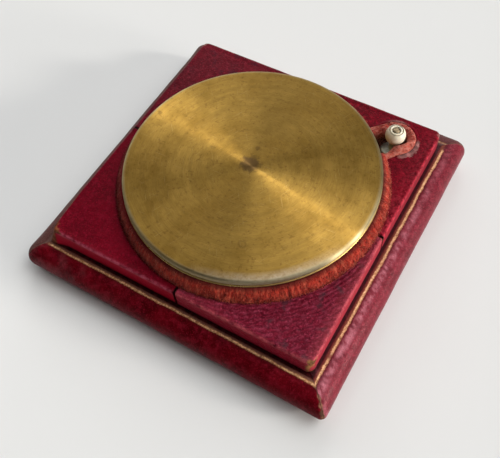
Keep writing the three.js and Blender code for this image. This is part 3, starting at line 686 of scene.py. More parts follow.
def silvered():
    """Silvered brass of the dial: grained, a little yellowed."""
    s = Material("silvered", (214, 211, 200), Metallic=0.75)
    cloud, fine = s.noise(4, 4, 0.6), s.noise(0.09, 2, 0.6)
    s.wash(cloud, 0.4, 0.66, (190, 180, 152))
    s.wash(fine, 0.6, 0.72, (120, 108, 84), 0.2)
    return s.done(s.span(cloud, 0.3, 0.7, 0.42, 0.55), fine, 0.004)


def clear_glass():
    s = Material("clear_glass", (0.97, 0.99, 0.98, 1.0), Transmission_Weight=1.0, IOR=1.5)
    return s.done(s.span(s.noise(6, 4, 0.7), 0.5, 0.8, 0.01, 0.06))


def enamel():
    s = Material("black_enamel", (18, 17, 18))
    s.coat(s.noise(0.6), (46, 42, 40))
    return s.done(s.span(s.noise(0.8), 0.3, 0.7, 0.35, 0.5))


def pale_paper():
    s = Material("pale_floor", (231, 231, 229), Specular_IOR_Level=0.0)
    s.wash(s.noise(400), 0.3, 0.7, (232, 232, 230))
    return s.done(1.0)


# Scene

def add_camera():
    forward = VIEW_DIRECTION.normalized()
    level = forward.cross(Vector((0, 0, 1))).normalized()
    down = forward.cross(level)
    right = cos(CAMERA_ROLL) * level + sin(CAMERA_ROLL) * down
    up = sin(CAMERA_ROLL) * level - cos(CAMERA_ROLL) * down
    data = bpy.data.cameras.new("camera")
    data.lens, data.sensor_width = LENS, SENSOR
    data.clip_start, data.clip_end = NEAREST * MM, FARTHEST * MM
    thing = shown("camera", data)
    turn = Matrix((right, up, -forward)).transposed().to_4x4()
    thing.matrix_world = Matrix.Translation(CAMERA_PLACE * MM) @ turn
    bpy.context.scene.camera = thing


def towards(azimuth, elevation):
    """The direction to a light, from its bearing and height in degrees."""
    a, e = radians(azimuth), radians(elevation)
    return Vector((cos(a) * cos(e), sin(a) * cos(e), sin(e)))


def add_lights():
    """The room's light, with a pale backdrop low down and under the floor that only eyes and metal see."""
    scene = bpy.context.scene
    scene.view_settings.view_transform = "Standard"
    scene.world = bpy.data.worlds.new("room")
    w = Nodes(scene.world, "Background")
    w.put("Color", (0.985, 0.99, 1.0, 1.0))
    place = w.node("TexCoord").outputs["Generated"]
    total = ROOM_EVEN
    for azimuth, elevation, reach, brightness in ROOM:
        toward = w.vector("DOT_PRODUCT", place, towards(azimuth, elevation))
        total = w.add(total, w.span(toward, cos(radians(reach)), 1.0, 0.0, brightness, "SMOOTHSTEP"))
    height = w.parts(place)[2]
    low = w.math("LESS_THAN", height, sin(radians(BACKDROP_HEIGHT)))
    rays = w.node("LightPath").outputs
    mirrored = w.most(rays["Is Glossy Ray"], rays["Is Transmission Ray"])
    seen = w.most(rays["Is Camera Ray"], w.times(mirrored, low))
    seen = w.most(seen, w.math("LESS_THAN", height, 0.0))
    w.put("Strength", w.most(total, w.times(seen, BACKDROP)))
    for azimuth, elevation, width, share in LOW_LIGHTS:
        way = towards(azimuth, elevation)
        data = bpy.data.lights.new("low_light", "SUN")
        data.color, data.angle = (1.0, 0.96, 0.9), radians(width)
        data.energy = share * pi / way.z
        thing = shown("low_light", data)
        thing.location = way
        thing.rotation_euler = way.to_track_quat("Z", "Y").to_euler()


def add_floor():
    h = FLOOR_HALF
    mesh = mesh_of("floor", [(-h, -h, 0), (h, -h, 0), (h, h, 0), (-h, h, 0)], [(0, 1, 2, 3)])
    mesh.materials.append(pale_paper())
    shown("floor", mesh)


# Case

def add_base_edges():
    """Four bullnose strips round the base, mitred at the corners."""
    inner = BLOCK_HALF - LEATHER
    nose_start = BASE_HALF - NOSE_REACH
    step = nose_start - STEP_INSET
    sharp = BLOCK_CORNER / 2
    nose_height = (LEDGE_TOP - NOSE_LOW) / 2
    rings = [(half, 0, LEDGE_TOP) for half in np.linspace(inner, nose_start, 16)]  # the ledge
    for angle in np.radians(np.linspace(90, -90, 49))[1:]:
        out = cos(angle)
        rings.append((BASE_HALF - NOSE_REACH * (1 - out), out, NOSE_LOW + nose_height * (1 + sin(angle))))
    rings += [(step, 0, NOSE_LOW), (step, 0, BOARD_LOW), (inner, 0, BOARD_LOW), (inner, 0, (BOARD_LOW + LEDGE_TOP) / 2)]
    bearings = np.arctan(np.linspace(-1, 1, 301))
    for k, side in enumerate(("right", "back", "left", "front")):
        rows = []
        for half, out, height in rings:
            flat = outline_at(bearings, half, sharp + (np.roll(BASE_CORNERS, -k) - sharp) * out)
            widest = flat[:, 0] - MITRE_HALF * sqrt(2)
            flat[:, 1] = np.sign(flat[:, 1]) * np.minimum(np.abs(flat[:, 1]), widest)
            rows.append(at_height(spun(flat, k * pi / 2), height))
        points, faces = bar(rows)
        piece(f"leather_edge_{side}", (weathered(points, side), faces), EDGE_LEATHER[side], "case",
              f"base_edge_{side}", "edge_leather", 50, **edge_marks(points, side))


def edge_marks(points, side):
    """Wear, dust, gilding, painted shade in the crease by the block and painted highlights of one edge strip, from
    where each point lies.
    """
    x, y, z = points.T
    out = far_out(points)
    to_mitre = np.abs(np.abs(x) - np.abs(y)) / sqrt(2)
    to_corner = np.hypot(np.abs(x) - BASE_HALF, np.abs(y) - BASE_HALF)
    at_near_corner = (x > 0) * (y < 0) * (0.5 + noise(points, 0.8, 6, 2))
    worn = (out > GILT_OUT) * (0.55 * fade(to_mitre, 0.5) + 0.6 * fade(to_mitre, 0.9) * at_near_corner)
    worn += 0.5 * fade(to_corner, 4.5) * (0.5 + 0.6 * noise(points, 2.2, 5, 3))
    # lower edge of the nose: painted highlight along it, with some wear
    low_highlight_band = band(z, NOSE_LOW + 1, 1.6)
    worn += 0.3 * low_highlight_band * unit(noise(points, 6, 9, 2))
    top = fade(LEDGE_TOP - z, 0.7)
    crease, dusty = (0.6, 0.65) if side == "right" else (0.75, 0.9)
    # painted shade in the crease where the block meets the ledge
    dirt = 1.6 * top * fade(out - BLOCK_HALF - 0.25, crease)
    dust = top * band(out, GILT_OUT - 0.35, dusty)
    if side == "right":
        streaks = 1.1 * noise(points * (0.7, 1.1, 1), 0.6, 12, 3) + 0.9 * noise(points, 3, 13, 2)
        # painted highlight: a streaky band of sheen beyond the gilt, fading towards the far end, and painted sheen on
        # the nose's outer side
        pale = band(out, GILT_OUT + 1.5, 1.2) * (z > LEDGE_TOP - 2)
        pale *= np.clip(0.45 + 0.7 * streaks, 0.05, 1) * np.clip(0.9 - y / 45, 0.3, 1.2)
        pale += 0.2 * unit((LEDGE_TOP - 2 - z) / 2.5)
        # near the near corner's mitre the lighter patch is wear
        pale += 0.5 * fade(to_mitre, 3.5) * (y < 0) * unit(0.5 + noise(points, 1.4, 15, 3))
    else:
        # painted highlight along the nose's lower edge, and painted sheen growing towards the left end
        pale = 0.5 * low_highlight_band + 0.3 * fade(x + BASE_HALF, 34) * unit(noise(points, 2, 14, 3) + 0.2)
    # a thin darker line just outside the gilt
    dirt += 0.35 * band(out, GILT_OUT + 0.5, 0.35) * (z > LEDGE_TOP - 1)
    if side == "front":
        gilt = unit((x + 33.2) / 0.8) * (1 - 0.9 * band(x, 21.5, 0.45))
    elif side == "right":
        gilt = unit((32 - y) / 0.8) * (1 - 0.8 * band(y, -27, 1.4))
    else:
        gilt = 0.35 * (unit((y + 24) / 4) if side == "left" else np.ones(len(points)))
        worn += 0.5 * band(out, GILT_OUT, 1)
        dust = unit(dust + 0.6 * unit((z - NOSE_LOW - 2.5) / 3.5))
        dirt *= 0.4
    return {"worn": worn, "dirt": dirt, "gilt": gilt, "dust": dust, "pale": pale}


def weathered(points, side):
    """An edge strip's soft unevenness, with the line pressed in for the gilding."""
    points = points.copy()
    y, z = points[:, 1:].T
    out = far_out(points)
    swell = noise(points, 9, 21, 2) * 0.07 + noise(points, 2.5, 22, 2) * 0.03
    free = unit((out - (BASE_HALF - NOSE_REACH)) / 1.5)
    on_top = fade(LEDGE_TOP - z, 0.8)
    points[:, :2] += ways_of(points[:, :2]) * ((swell - 0.03) * free)[:, None]
    if side == "left":
        points[:, 0] += 0.24 * free * (1 - fade(BASE_HALF - np.abs(y), 8))
    points[:, 2] -= on_top * (0.07 * band(out, GILT_OUT, 0.55) + 0.03 - 0.4 * swell)
    return points


def cover_plan(axis, lobed):
    """Inner outline of a corner cover, and the point of its outer outline that each point faces.

    In the frame of the right-hand corner, from the slit on the +X side round to the one on +Y."""
    first = degrees(asin(SLIT_HALF / COVER_HOLE))
    inside = BLOCK_HALF - BLOCK_EDGE
    corner = BLOCK_CORNER - BLOCK_EDGE
    tip = inside - corner * (1 - sqrt(0.5))
    start, end = (inside, axis[1] + SLIT_HALF), (axis[0] + SLIT_HALF, inside)
    anchors = [(0, start), (0.5, (tip, tip)), (1, end)]
    if lobed:
        meet = degrees(asin(LOBE_RADIUS / COVER_HOLE))
        line = np.vstack([
            arc(axis, COVER_HOLE, first, LEVER_DEGREES - meet, 120),
            arc(KNOB_PLACE, LOBE_RADIUS, LEVER_DEGREES - 90, LEVER_DEGREES + 90, 91),
            arc(axis, COVER_HOLE, LEVER_DEGREES + meet, 90 - first, 120),
        ])
        at = lengths_of(line) / lengths_of(line)[-1]
        turns = [(119, (inside, 19.6)), (120, (inside, 23.4)), (165, (tip, tip)),
                 (210, (19.2, inside)), (211, (15.0, inside))]
        anchors[1:2] = [(at[k], place) for k, place in turns]
        inner = softened(along(line, 0.2), 12)
    else:
        inner = along(arc(axis, COVER_HOLE, first, 90 - first, 200), 0.2)
    quarter = arc((inside - corner, inside - corner), corner, 0, 90, 48)
    rim = along(np.vstack([start, quarter, end]), 0.02)
    lengths = lengths_of(rim)
    faced = [lengths[np.argmin(np.hypot(*(rim - place).T))] for _, place in anchors]
    where = np.interp(np.linspace(0, 1, len(inner)), [share for share, _ in anchors], faced)
    return inner, at_lengths(where, lengths, rim)


def add_corner_covers():
    """Four leather pieces over the block, one round each corner, with slits between them."""
    lip, smoothing = 0.25, 300
    for k, place in enumerate(("right", "far", "left", "near")):
        turn = k * pi / 2
        inner, outer = cover_plan(spun(AXIS[None], -turn)[0], place == "right")
        run = ways_of(np.gradient(inner, axis=0))
        inward = np.column_stack([run[:, 1], -run[:, 0]])
        start = inner + inward * lip
        flat = np.array([start + (outer - start) * t for t in np.linspace(0, 1, 44)])
        for _ in range(smoothing):
            flat[1:-1, 1:-1] = (flat[:-2, 1:-1] + flat[2:, 1:-1] + flat[1:-1, :-2] + flat[1:-1, 2:]) / 4
        core = BLOCK_HALF - BLOCK_CORNER
        spoke = ways_of(outer - np.clip(outer, -core, core))
        edge = outer + spoke * BLOCK_EDGE
        rows = [(inner, COVER_UNDER), (inner, BLOCK_TOP - lip), (inner + inward * lip * 0.3, BLOCK_TOP - lip * 0.3)]
        rows += [(row, BLOCK_TOP) for row in flat]
        for angle in np.radians(np.linspace(0, 90, 9))[1:]:
            rows.append((outer + spoke * BLOCK_EDGE * sin(angle), BLOCK_TOP - BLOCK_EDGE * (1 - cos(angle))))
        rows += [(edge, height) for height in np.linspace(BLOCK_TOP - BLOCK_EDGE, COVER_LOW, 14)[1:]]
        rows += [(edge - spoke * LEATHER, COVER_LOW), (edge - spoke * LEATHER, COVER_UNDER)]
        points, faces = bar([at_height(spun(row, turn), height) for row, height in rows])
        piece(f"leather_cover_{place}", (settled(points, place), faces), COVER_LEATHER[place], "case",
              f"corner_cover_{place}", "block_leather", 50, **cover_marks(points, place))


def cover_marks(points, place):
    """Wear, painted shade, painted highlights and painted light on the lit side faces of one corner cover, from where
    each point lies.
    """
    x, y = np.abs(points[:, :2]).T
    depth = BLOCK_TOP - points[:, 2]
    slit = from_slits(points)
    edge_line = band(far_out(points), BLOCK_HALF - 0.1, 0.45) * band(depth, 0.2, 0.8)
    corner = np.hypot(x - BLOCK_HALF, y - BLOCK_HALF)
    worn = 0.35 * edge_line * (0.5 + 0.7 * noise(points, 1.8, 31, 3)) + 0.4 * fade(slit - SLIT_HALF, 0.45)
    worn += 1.1 * fade(corner, 2.5) * (0.8 + 0.7 * noise(points, 1.1, 38, 3))
    # the block's right and front side faces, which the lift mark makes lighter as painted light
    lit = np.maximum(points[:, 0], -points[:, 1]) > BLOCK_HALF - 0.5
    # painted highlight along the block's top edge
    pale = edge_line * unit(0.4 + 0.7 * noise(points, 0.7, 33, 2))
    if place == "right":
        gap = from_knob(points) - LOBE_RADIUS
        lower = unit(1.5 * facing(points, -18, 62))
        worn += lower * (band(gap, 0.6, 1.15) + 0.5 * band(gap, 1.5, 1) * noise(points, 0.6, 34, 2))
        worn += 0.75 * facing(points, 105, 65) * band(gap, 0.3, 1)
        speckle = unit(0.6 + 0.9 * noise(points, 0.45, 35, 2))
        # painted highlight: speckled sheen on the right cover near its right edge
        pale += speckle * fade(BLOCK_HALF - points[:, 0], 5) * (0.2 + 0.35 * fade(y, 18))
    if place == "near":
        # painted light: the near cover lighter towards its right edge and its middle
        pale += 0.35 * fade(BLOCK_HALF - points[:, 0], 3.2) + 0.15 * fade(points[:, 0], 18)
    if place == "left":
        worn += 0.95 * fade(corner, 4.6) * (0.6 + 0.5 * noise(points, 1.2, 36, 3)) + 0.3 * band(x, BLOCK_HALF, 1.2)
    if place in ("left", "near"):
        front = fade(BLOCK_HALF - y, 0.9) * (points[:, 1] < 0)
        # painted highlight along the upper part of the front faces
        pale += 0.6 * front * band(depth, 0.3, 1.1) * (0.6 + 0.8 * noise(points, 0.8, 37, 2))
    # painted shade: darker at the foot of the side faces and in the slits
    dirt = 0.8 * fade(points[:, 2] - COVER_LOW, 0.8) + 1.3 * fade(slit - SLIT_HALF, 0.26)
    # lift: painted light on the lit side faces below their top edge
    return {"worn": worn, "dirt": dirt, "pale": pale, "lift": 0.7 * unit((depth - 0.25) / 0.4) * lit}


def settled(points, place):
    """A cover's soft unevenness, its lips lifted a little at the slits and round the recess."""
    points = points.copy()
    top = fade(BLOCK_TOP - points[:, 2], 2.5)
    lift = noise(points, 7, 41, 2) * 0.05 + noise(points, 1.6, 42, 2) * 0.02
    lift += 0.12 * band(from_slits(points), 0.5, 0.9) + 0.08 * band(far_out(points), BLOCK_HALF - 0.7, 0.9)
    if place == "right":
        lift += 0.22 * band(from_knob(points), LOBE_RADIUS + 0.35, 0.7)
    points[:, 2] += top * lift
    if place == "left":
        drop = unit((BLOCK_TOP - points[:, 2]) / (BLOCK_TOP - COVER_LOW))
        away = points[:, :2] + BLOCK_HALF
        points[:, :2] -= ((1.8 * drop - 0.25) * fade(np.hypot(*away.T), 4.4))[:, None] * 0.7
        points[:, 0] += 0.45 * (1 - drop) * fade(away[:, 0], 1.6) * fade(away[:, 1], 13)
    return points


def add_suede_collar():
    """Lining of the well, whose raw edge stands up round the drum as a fuzzy roll."""
    inner, outer = LINING_INNER, LINING_INNER + LINING_WALL
    roll = [(inner + 0.55, COLLAR_TOP), (inner + 1.05, COLLAR_TOP - 0.35), (FLANGE - 0.45, BLOCK_TOP + 1.9),
            (FLANGE - 0.05, BLOCK_TOP + 0.9), (FLANGE + 0.08, BLOCK_TOP + 0.2), (FLANGE, BLOCK_TOP - 0.3)]
    outside = along(softened(along(roll, 0.1), 20), 0.12)
    profile = np.vstack([
        (inner, LINING_LOW), (inner, (LINING_LOW + COLLAR_TOP) / 2), (inner, COLLAR_TOP - 0.15),
        (inner + 0.15, COLLAR_TOP), outside, (FLANGE, COVER_UNDER), (outer, COVER_UNDER), (outer, LINING_LOW)])
    fuzzy = np.zeros(len(profile))
    fuzzy[4:4 + len(outside)] = np.sin(np.linspace(0.25, 2.9, len(outside)))
    gap = np.arcsin(LOBE_RADIUS / profile[:, :1])
    angles = LEVER_ANGLE + gap + np.linspace(0, 1, 1300) * (2 * pi - 2 * gap)
    radius, height = (column[:, None] + np.zeros_like(angles) for column in profile.T)
    unrolled = np.column_stack([(angles * inner).ravel(), (height - radius).ravel() * 0.18, np.zeros(angles.size)])
    nap = noise(unrolled, 0.45, 51, 2) * 0.09 + noise(unrolled, 1.7, 52, 2) * 0.09
    nap = nap.reshape(angles.shape) * fuzzy[:, None] * 0.8
    radius, height = radius + nap, height + nap
    points, faces = bar(list(np.dstack([polar(AXIS, radius, angles), height])))
    # painted shade: darker just under the lid's rim and on the well's left side
    piece("suede_collar", (points, faces), SUEDE["collar"], "case", "well_lining", "suede", 60,
          dirt=0.75 * fade(COLLAR_TOP - points[:, 2], 0.8) + left_side(points))
    rng = np.random.default_rng(7)
    count, shortest, longest = FIBRES["collar"]
    flat, at = spots_on(outside, 1 + rng.random(count) ** 0.8 * (len(outside) - 3))
    run = ways_of(outside[at + 1] - outside[at])
    way = run * 0.9 + np.column_stack([-run[:, 1], run[:, 0]]) * 0.45
    reach = np.arcsin(LOBE_RADIUS / flat[:, 0])
    angle = LEVER_ANGLE + reach + rng.random(count) * (2 * pi - 2 * reach)
    roots = at_height(polar(AXIS, flat[:, 0], angle), flat[:, 1] - 0.06)
    ways = at_height(polar((0, 0), way[:, 0], angle), way[:, 1]) + rng.normal(0, 0.34, (count, 3))
    ways[:, 2] = np.maximum(ways[:, 2], (BLOCK_TOP - flat[:, 1]) / 0.9 + 0.1)
    # the fibres get the same painted shade on the left
    add_nap("collar", roots, ways, rng.uniform(shortest, longest, count), rng, left_side(roots))


def left_side(points):
    """Painted shade on the suede round the well: how much darker it is, most on the left."""
    off = points[:, :2] - AXIS
    return 0.15 * unit(-off @ (0.95, 0.1) / np.hypot(*off.T))


def add_nap(name, roots, ways, lengths, rng, dark=0):
    """Fibres of napped leather: thin spikes, each with its own tone."""
    ways = ways_of(ways)
    side = ways_of(np.cross(ways, (0.3, 0.2, 1.0)))
    other = np.cross(ways, side)
    half = rng.uniform(*FIBRE_HALF, (len(roots), 1))
    ring = [roots + half * (cos(a) * side + sin(a) * other) for a in (0, 2 * pi / 3, 4 * pi / 3)]
    points = np.stack([*ring, roots + ways * lengths[:, None]], axis=1).reshape(-1, 3)
    base = np.arange(len(roots))[:, None, None] * 4
    faces = (base + np.array([(0, 1, 3), (1, 2, 3), (2, 0, 3), (2, 1, 0)])).reshape(-1, 3).tolist()
    tone = rng.random(len(roots))
    piece(f"suede_{name}_nap", (points, faces), SUEDE[name], "case", None, "suede", 180,
          # random darker fibres, plus the painted shade passed in as dark
          dirt=np.repeat(np.clip(0.9 - 3 * tone, 0, 0.7) + dark, 4),
          worn=np.repeat(np.clip(2.4 * tone - 1.9, 0, 0.5), 4))


def add_recess_lining():
    """Suede lining of the knob's recess: a U-shaped wall with a soft rolled edge."""
    rim = LOBE_RADIUS - FIT
    well = LINING_INNER + LINING_WALL + 2 * FIT
    rolled = [(0.4, 0.1), (0.1, 0.4), (-0.5, 0.42), (-1.05, 0.15), (-1.4, -0.3), (-1.5, -0.9), (-1.4, -2.2),
              (-1.0, -4.0)]
    upper = along(softened(along(np.array(rolled) + (rim, BLOCK_TOP), 0.1), 4), 0.14)
    profile = np.vstack([(rim, LINING_LOW), upper, (rim - 1, LINING_LOW)])
    straight, bend = np.linspace(1, 0, 26, endpoint=False), np.linspace(-pi / 2, pi / 2, 120)
    rows = []
    for radius, height in profile:
        leg = KNOB_OUT - (KNOB_OUT - sqrt(well ** 2 - radius ** 2)) * straight
        u = np.r_[leg, KNOB_OUT + radius * np.cos(bend), leg[::-1]]
        v = np.r_[np.full(len(leg), -radius), radius * np.sin(bend), np.full(len(leg), radius)]
        rows.append(at_height(AXIS + lever_points(u, v), height))
    points, faces = bar(rows)
    fuzz = noise(points, 0.5, 61, 2) * 0.07 + noise(points, 1.6, 62, 1) * 0.06
    points[:, 2] += fuzz * fade(BLOCK_TOP - points[:, 2], 3)
    points, near = puffed(points)
    # painted shade: the recess's suede darker lower down
    piece("suede_recess", (points, faces), SUEDE["recess"], "case", "knob_recess_lining", "suede", 60,
          dirt=0.95 * unit((BLOCK_TOP - 0.9 - points[:, 2]) / 2.4), worn=0.4 * near)
    rng = np.random.default_rng(8)
    count, shortest, longest = FIBRES["recess"]
    radius, height = spots_on(upper, 1 + rng.random(count) * (len(upper) * 0.62 - 2))[0].T
    around = rng.uniform(-0.72, 0.72, count) * pi
    past = np.abs(around) - pi / 2
    u = radius * np.where(past < 0, np.cos(around), -past)
    v = radius * np.sign(around) * np.where(past < 0, np.abs(np.sin(around)), 1)
    roots, _ = puffed(at_height(KNOB_PLACE + lever_points(u, v), height - 0.06))
    inward = at_height(-lever_points(np.maximum(u, 0), v), 0)
    ways = ways_of(inward) * 0.7 + rng.normal(0, 0.4, (count, 3)) + (0, 0, 0.75)
    room = np.hypot(*(roots[:, :2] - KNOB_PLACE - PRESSED_OUT * LEVER_WAY).T) - KNOB_BALL - 0.15
    add_nap("recess", roots, ways, np.clip(0.8 * room, 0.02, rng.uniform(shortest, longest, count)), rng)


def puffed(points):
    """The recess's suede, plumped up towards the knob on its front side, and how much at each point."""
    off, gap = points[:, :2] - KNOB_PLACE, from_knob(points)
    near = facing(points, -52, 85) * band(points[:, 2], BLOCK_TOP + 0.3, 1.7)
    closest = 2.75
    moved = np.maximum(gap - 1.15 * near * fade(gap - 3.4, 1.3), closest)
    moved = np.where(gap > closest, moved, gap)
    up = 0.75 * near * band(moved, 3.2, 1.5)
    return np.column_stack([KNOB_PLACE + off * (moved / gap)[:, None], points[:, 2] + up]), near


def add_suede_floor():
    """Suede on the well's floor, with its tongue under the lever's end."""
    low, high = levels("well_floor_suede")
    reach, half = LINING_INNER + LINING_WALL, LOBE_RADIUS - FIT
    meet = degrees(asin(half / reach))
    line = np.vstack([
        arc((0, 0), reach, LEVER_DEGREES + meet, LEVER_DEGREES - meet + 360, 300),
        arc(LEVER_WAY * KNOB_OUT, half, LEVER_DEGREES - 90, LEVER_DEGREES + 90, 60),
    ])
    line = along(np.vstack([line, line[:1]]), 0.4)[:-1]
    rings = [(1.0, low), (1.0, high - 0.12), (0.995, high - 0.02)]
    rings += [(t, high) for t in np.linspace(0.985, 0.02, 60)]
    points, faces = stack([at_height(line * t + AXIS, height) for t, height in rings])
    points[:, 2] -= (1 - noise(points, 0.6, 71, 2)) * 0.03 * (points[:, 2] > high - 0.01)
    piece("suede_floor", (points, faces), SUEDE["floor"], "case", "well_floor_suede", "suede", 60)


def add_underside():
    """Leather-covered panel that the case stands on, with eased edges."""
    (_, _, low), (half, _, high) = box("bottom_panel")
    corner, ease = BLOCK_CORNER, 0.25
    rings = [(half * t, corner * t, low) for t in np.linspace(0.02, 0.985, 50)]
    rings += [(half - ease * 0.3, corner, low + ease * 0.3), (half, corner, low + ease), (half, corner, high),
              (half * 0.5, corner * 0.5, high)]
    bearings = np.linspace(0, 2 * pi, 360, endpoint=False)
    points, faces = stack([at_height(outline_at(bearings, *square), height) for *square, height in rings])
    out = far_out(points)
    piece("leather_underside", (points, faces), EDGE_LEATHER["under"], "case", "bottom_panel", "edge_leather", 50,
          worn=0.6 * fade(half - out, 2.5))


# Compass

def add_lid():
    """Slip-on lid: a spun disc with a rounded edge and a skirt inside the drum's rim."""
    edge, skirt, inner = 0.6, SKIRT_RADIUS, SKIRT_RADIUS - 0.6
    ease, under, low = 0.1, LID_TOP - 0.8, LID_BOTTOM
    profile = [(0, LID_TOP), *[(r, LID_TOP) for r in np.linspace(1.5, LID_SHOWN - edge, 24)],
               *arc((LID_SHOWN - edge, LID_TOP - edge), edge, 90, 0, 12)[1:],
               (LID_SHOWN, LID_LOW + ease), (LID_SHOWN - ease, LID_LOW), (skirt, LID_LOW), (skirt, low + ease),
               (skirt - ease, low), (inner + ease, low), (inner, low + ease), (inner, under - ease),
               (inner - ease, under), (0, under)]
    piece("brass_lid", turned(profile[::-1], AXIS), LID_BRASS, "lid", "lid", "lid_brass", 35)


def add_drum():
    """Bowl of the compass, stepped inside, with a bead round its rim and the lever's slot."""
    low, high = levels("drum_bowl")
    wall, bead, ease = DRUM_RADIUS, LID_SHOWN + 0.12, 0.1
    rim, foot, bead_low = wall - 0.9, 0.8, high - 0.4
    glass_low, dial_low = levels("glass")[0] - FIT, levels("dial_plate")[0] - FIT
    glass_in, dial_in, inside = rim - 0.8, rim - 2.2, low + 1
    profile = [(0, low), (wall - foot, low), *arc((wall - foot, low + foot), foot, -90, 0, 8)[1:], (wall, bead_low),
               *arc((bead - 0.2, bead_low + 0.2), 0.2, -80, 80, 9),
               (rim + ease, high), (rim, high - ease), (rim, glass_low), (glass_in, glass_low), (glass_in, dial_low),
               (dial_in, dial_low), (dial_in, inside + 3 * ease), (dial_in - 3 * ease, inside), (0, inside)]
    slot = [(dial_in - 1, -2), (wall + 1, -2), (wall + 1, 2), (dial_in - 1, 2)]
    slot = spun(np.array(slot), LEVER_ANGLE) + AXIS
    cut = stack([at_height(slot, inside + 0.1), at_height(slot, ARM_TOP + 0.4)])
    piece("brass_drum", carved([turned(profile, AXIS)], [cut]), DRUM_BRASS, "compass", "drum_bowl", "drum_brass", 35)


def add_knob():
    """Bone ball with a cut ring and a raised collar, and the brass pin through it."""
    low, high = levels("knob")
    centre = low + sqrt(KNOB_BALL ** 2 - KNOB_FOOT ** 2)
    top, cut, collar, head, bore = high - 0.15, 1.68, 1.42, 1.0, 0.8
    shoulder, foot = degrees(acos(cut / KNOB_BALL)), -degrees(acos(KNOB_FOOT / KNOB_BALL))
    profile = [(bore, low), *arc((0, centre), KNOB_BALL, foot, shoulder, 40),
               (cut - 0.06, top - 0.16), (cut - 0.11, top - 0.36), (collar + 0.06, top - 0.36), (collar, top - 0.14),
               (collar - 0.05, top - 0.05), (collar - 0.13, top), (head + 0.06, top), (head, top - 0.06),
               (head, top - 0.75), (bore, top - 0.75)]
    points, faces = turned(profile, KNOB_PLACE, 96)
    z = points[:, 2]
    groove_dark = band(from_knob(points), (cut + collar) / 2, 0.16) * (z > top - 0.42) * (z < top - 0.1)
    # darker in the groove round the collar, and painted shade towards the ball's foot
    piece("bone_knob", (points, faces), BONE, "lever", "knob", "bone", 50,
          dirt=0.85 * groove_dark + 0.35 * fade(z - low, 1.4))
    foot, head = levels("knob_pin")[0], 0.85
    profile = [(0, foot), (0.5, foot), (0.5, top - 0.45), (head, top - 0.45), (head, top - 0.12),
               (head - 0.1, top - 0.02), (head * 0.5, top + 0.02), (0, top + 0.04)]
    piece("knob_pin_head", turned(profile, KNOB_PLACE, 64), METALS["pin"], "lever", "knob_pin", "small_brass")


def add_lever():
    """Arrest lever: eye, tapering arm, hub on its pin, and the pale boss that carries the knob."""
    high = levels("arrest_lever")[1]

    def here(shape):
        points = spun(shape[0], LEVER_ANGLE)
        points[:, :2] += AXIS
        return points, shape[1]

    def cross(radius, half, steps=32):
        turn = np.linspace(0, 2 * pi, steps, endpoint=False)
        return stack([np.column_stack([FULCRUM_OUT + radius * np.cos(turn), np.full(steps, v),
                                       ARM_MIDDLE - radius * np.sin(turn)]) for v in (-half, half)])

    ends = np.vstack([arc((KNOB_OUT, 0), BOSS_RADIUS, -90, 90, 40),
                      arc((KNOB_OUT - BOSS_INSET, 0), BOSS_RADIUS, 90, 270, 40)])
    arm = np.array([(0, -1.1), (14, -1.5), (KNOB_OUT, -1.5), (KNOB_OUT, 1.5), (14, 1.5), (0, 1.1)])
    adds = [eased_prism(ends, ARM_LOW, high - BOSS_DROP, 0.45),
            eased_prism(arc((KNOB_OUT, 0), 1.15, 0, 350, 36), ARM_TOP, high, 0.1),
            stack([at_height(arm, ARM_LOW), at_height(arm, ARM_TOP)]),
            eased_prism(arc((0, 0), 2.6, 0, 354, 60), ARM_LOW, ARM_TOP, 0.08), cross(1.1, 1.5)]
    cuts = [eased_prism(arc((0, 0), 1.5, 0, 350, 36), ARM_LOW - 1, ARM_TOP + 1, 0), cross(0.7, 3),
            eased_prism(arc((KNOB_OUT, 0), 0.8, 0, 350, 36), high - 2.9, high + 1, 0)]
    shape = carved([here(shape) for shape in adds], [here(shape) for shape in cuts])
    piece("arrest_lever_body", shape, METALS["arrest"], "lever", "arrest_lever", "arrest_metal", 35)


def add_dial():
    """Dial plate, raised degree ring, and the ring that holds the glass."""
    low, top = levels("dial_plate")
    radius, ease = half_of("dial_plate"), 0.06
    profile = [(3, low), (radius, low), (radius, top - ease), (radius - ease, top), (3 + ease, top), (3, top - ease)]
    piece("dial_face", turned(profile, AXIS), METALS["silvered"], "compass", "dial_plate", "silvered_brass", 35)
    low, top = levels("degree_ring")
    inner = radius - 4.7
    slope = [(inner, low), (radius, low), (radius, top), (inner + 0.8, top), (inner + 0.1, low + 0.1)]
    piece("degree_scale", turned(slope, AXIS), METALS["silvered"], "compass", "degree_ring", "silvered_brass", 35)
    low, top = levels("glass_snap_ring")
    outer, inner, ease = SKIRT_RADIUS, SKIRT_RADIUS - 0.9, 0.15
    section = [(inner + ease, low), (outer - ease, low), (outer, low + ease), (outer, top - ease),
               (outer - ease, top), (inner + ease, top), (inner, top - ease), (inner, low + ease)]
    gap = degrees(asin(1.5 / (outer - 0.45)))
    rows = [at_height(arc(AXIS, r, 90 + gap, 450 - gap, 240), z) for r, z in section]
    piece("glass_ring", bar(rows), DRUM_BRASS, "compass", "glass_snap_ring", "drum_brass")


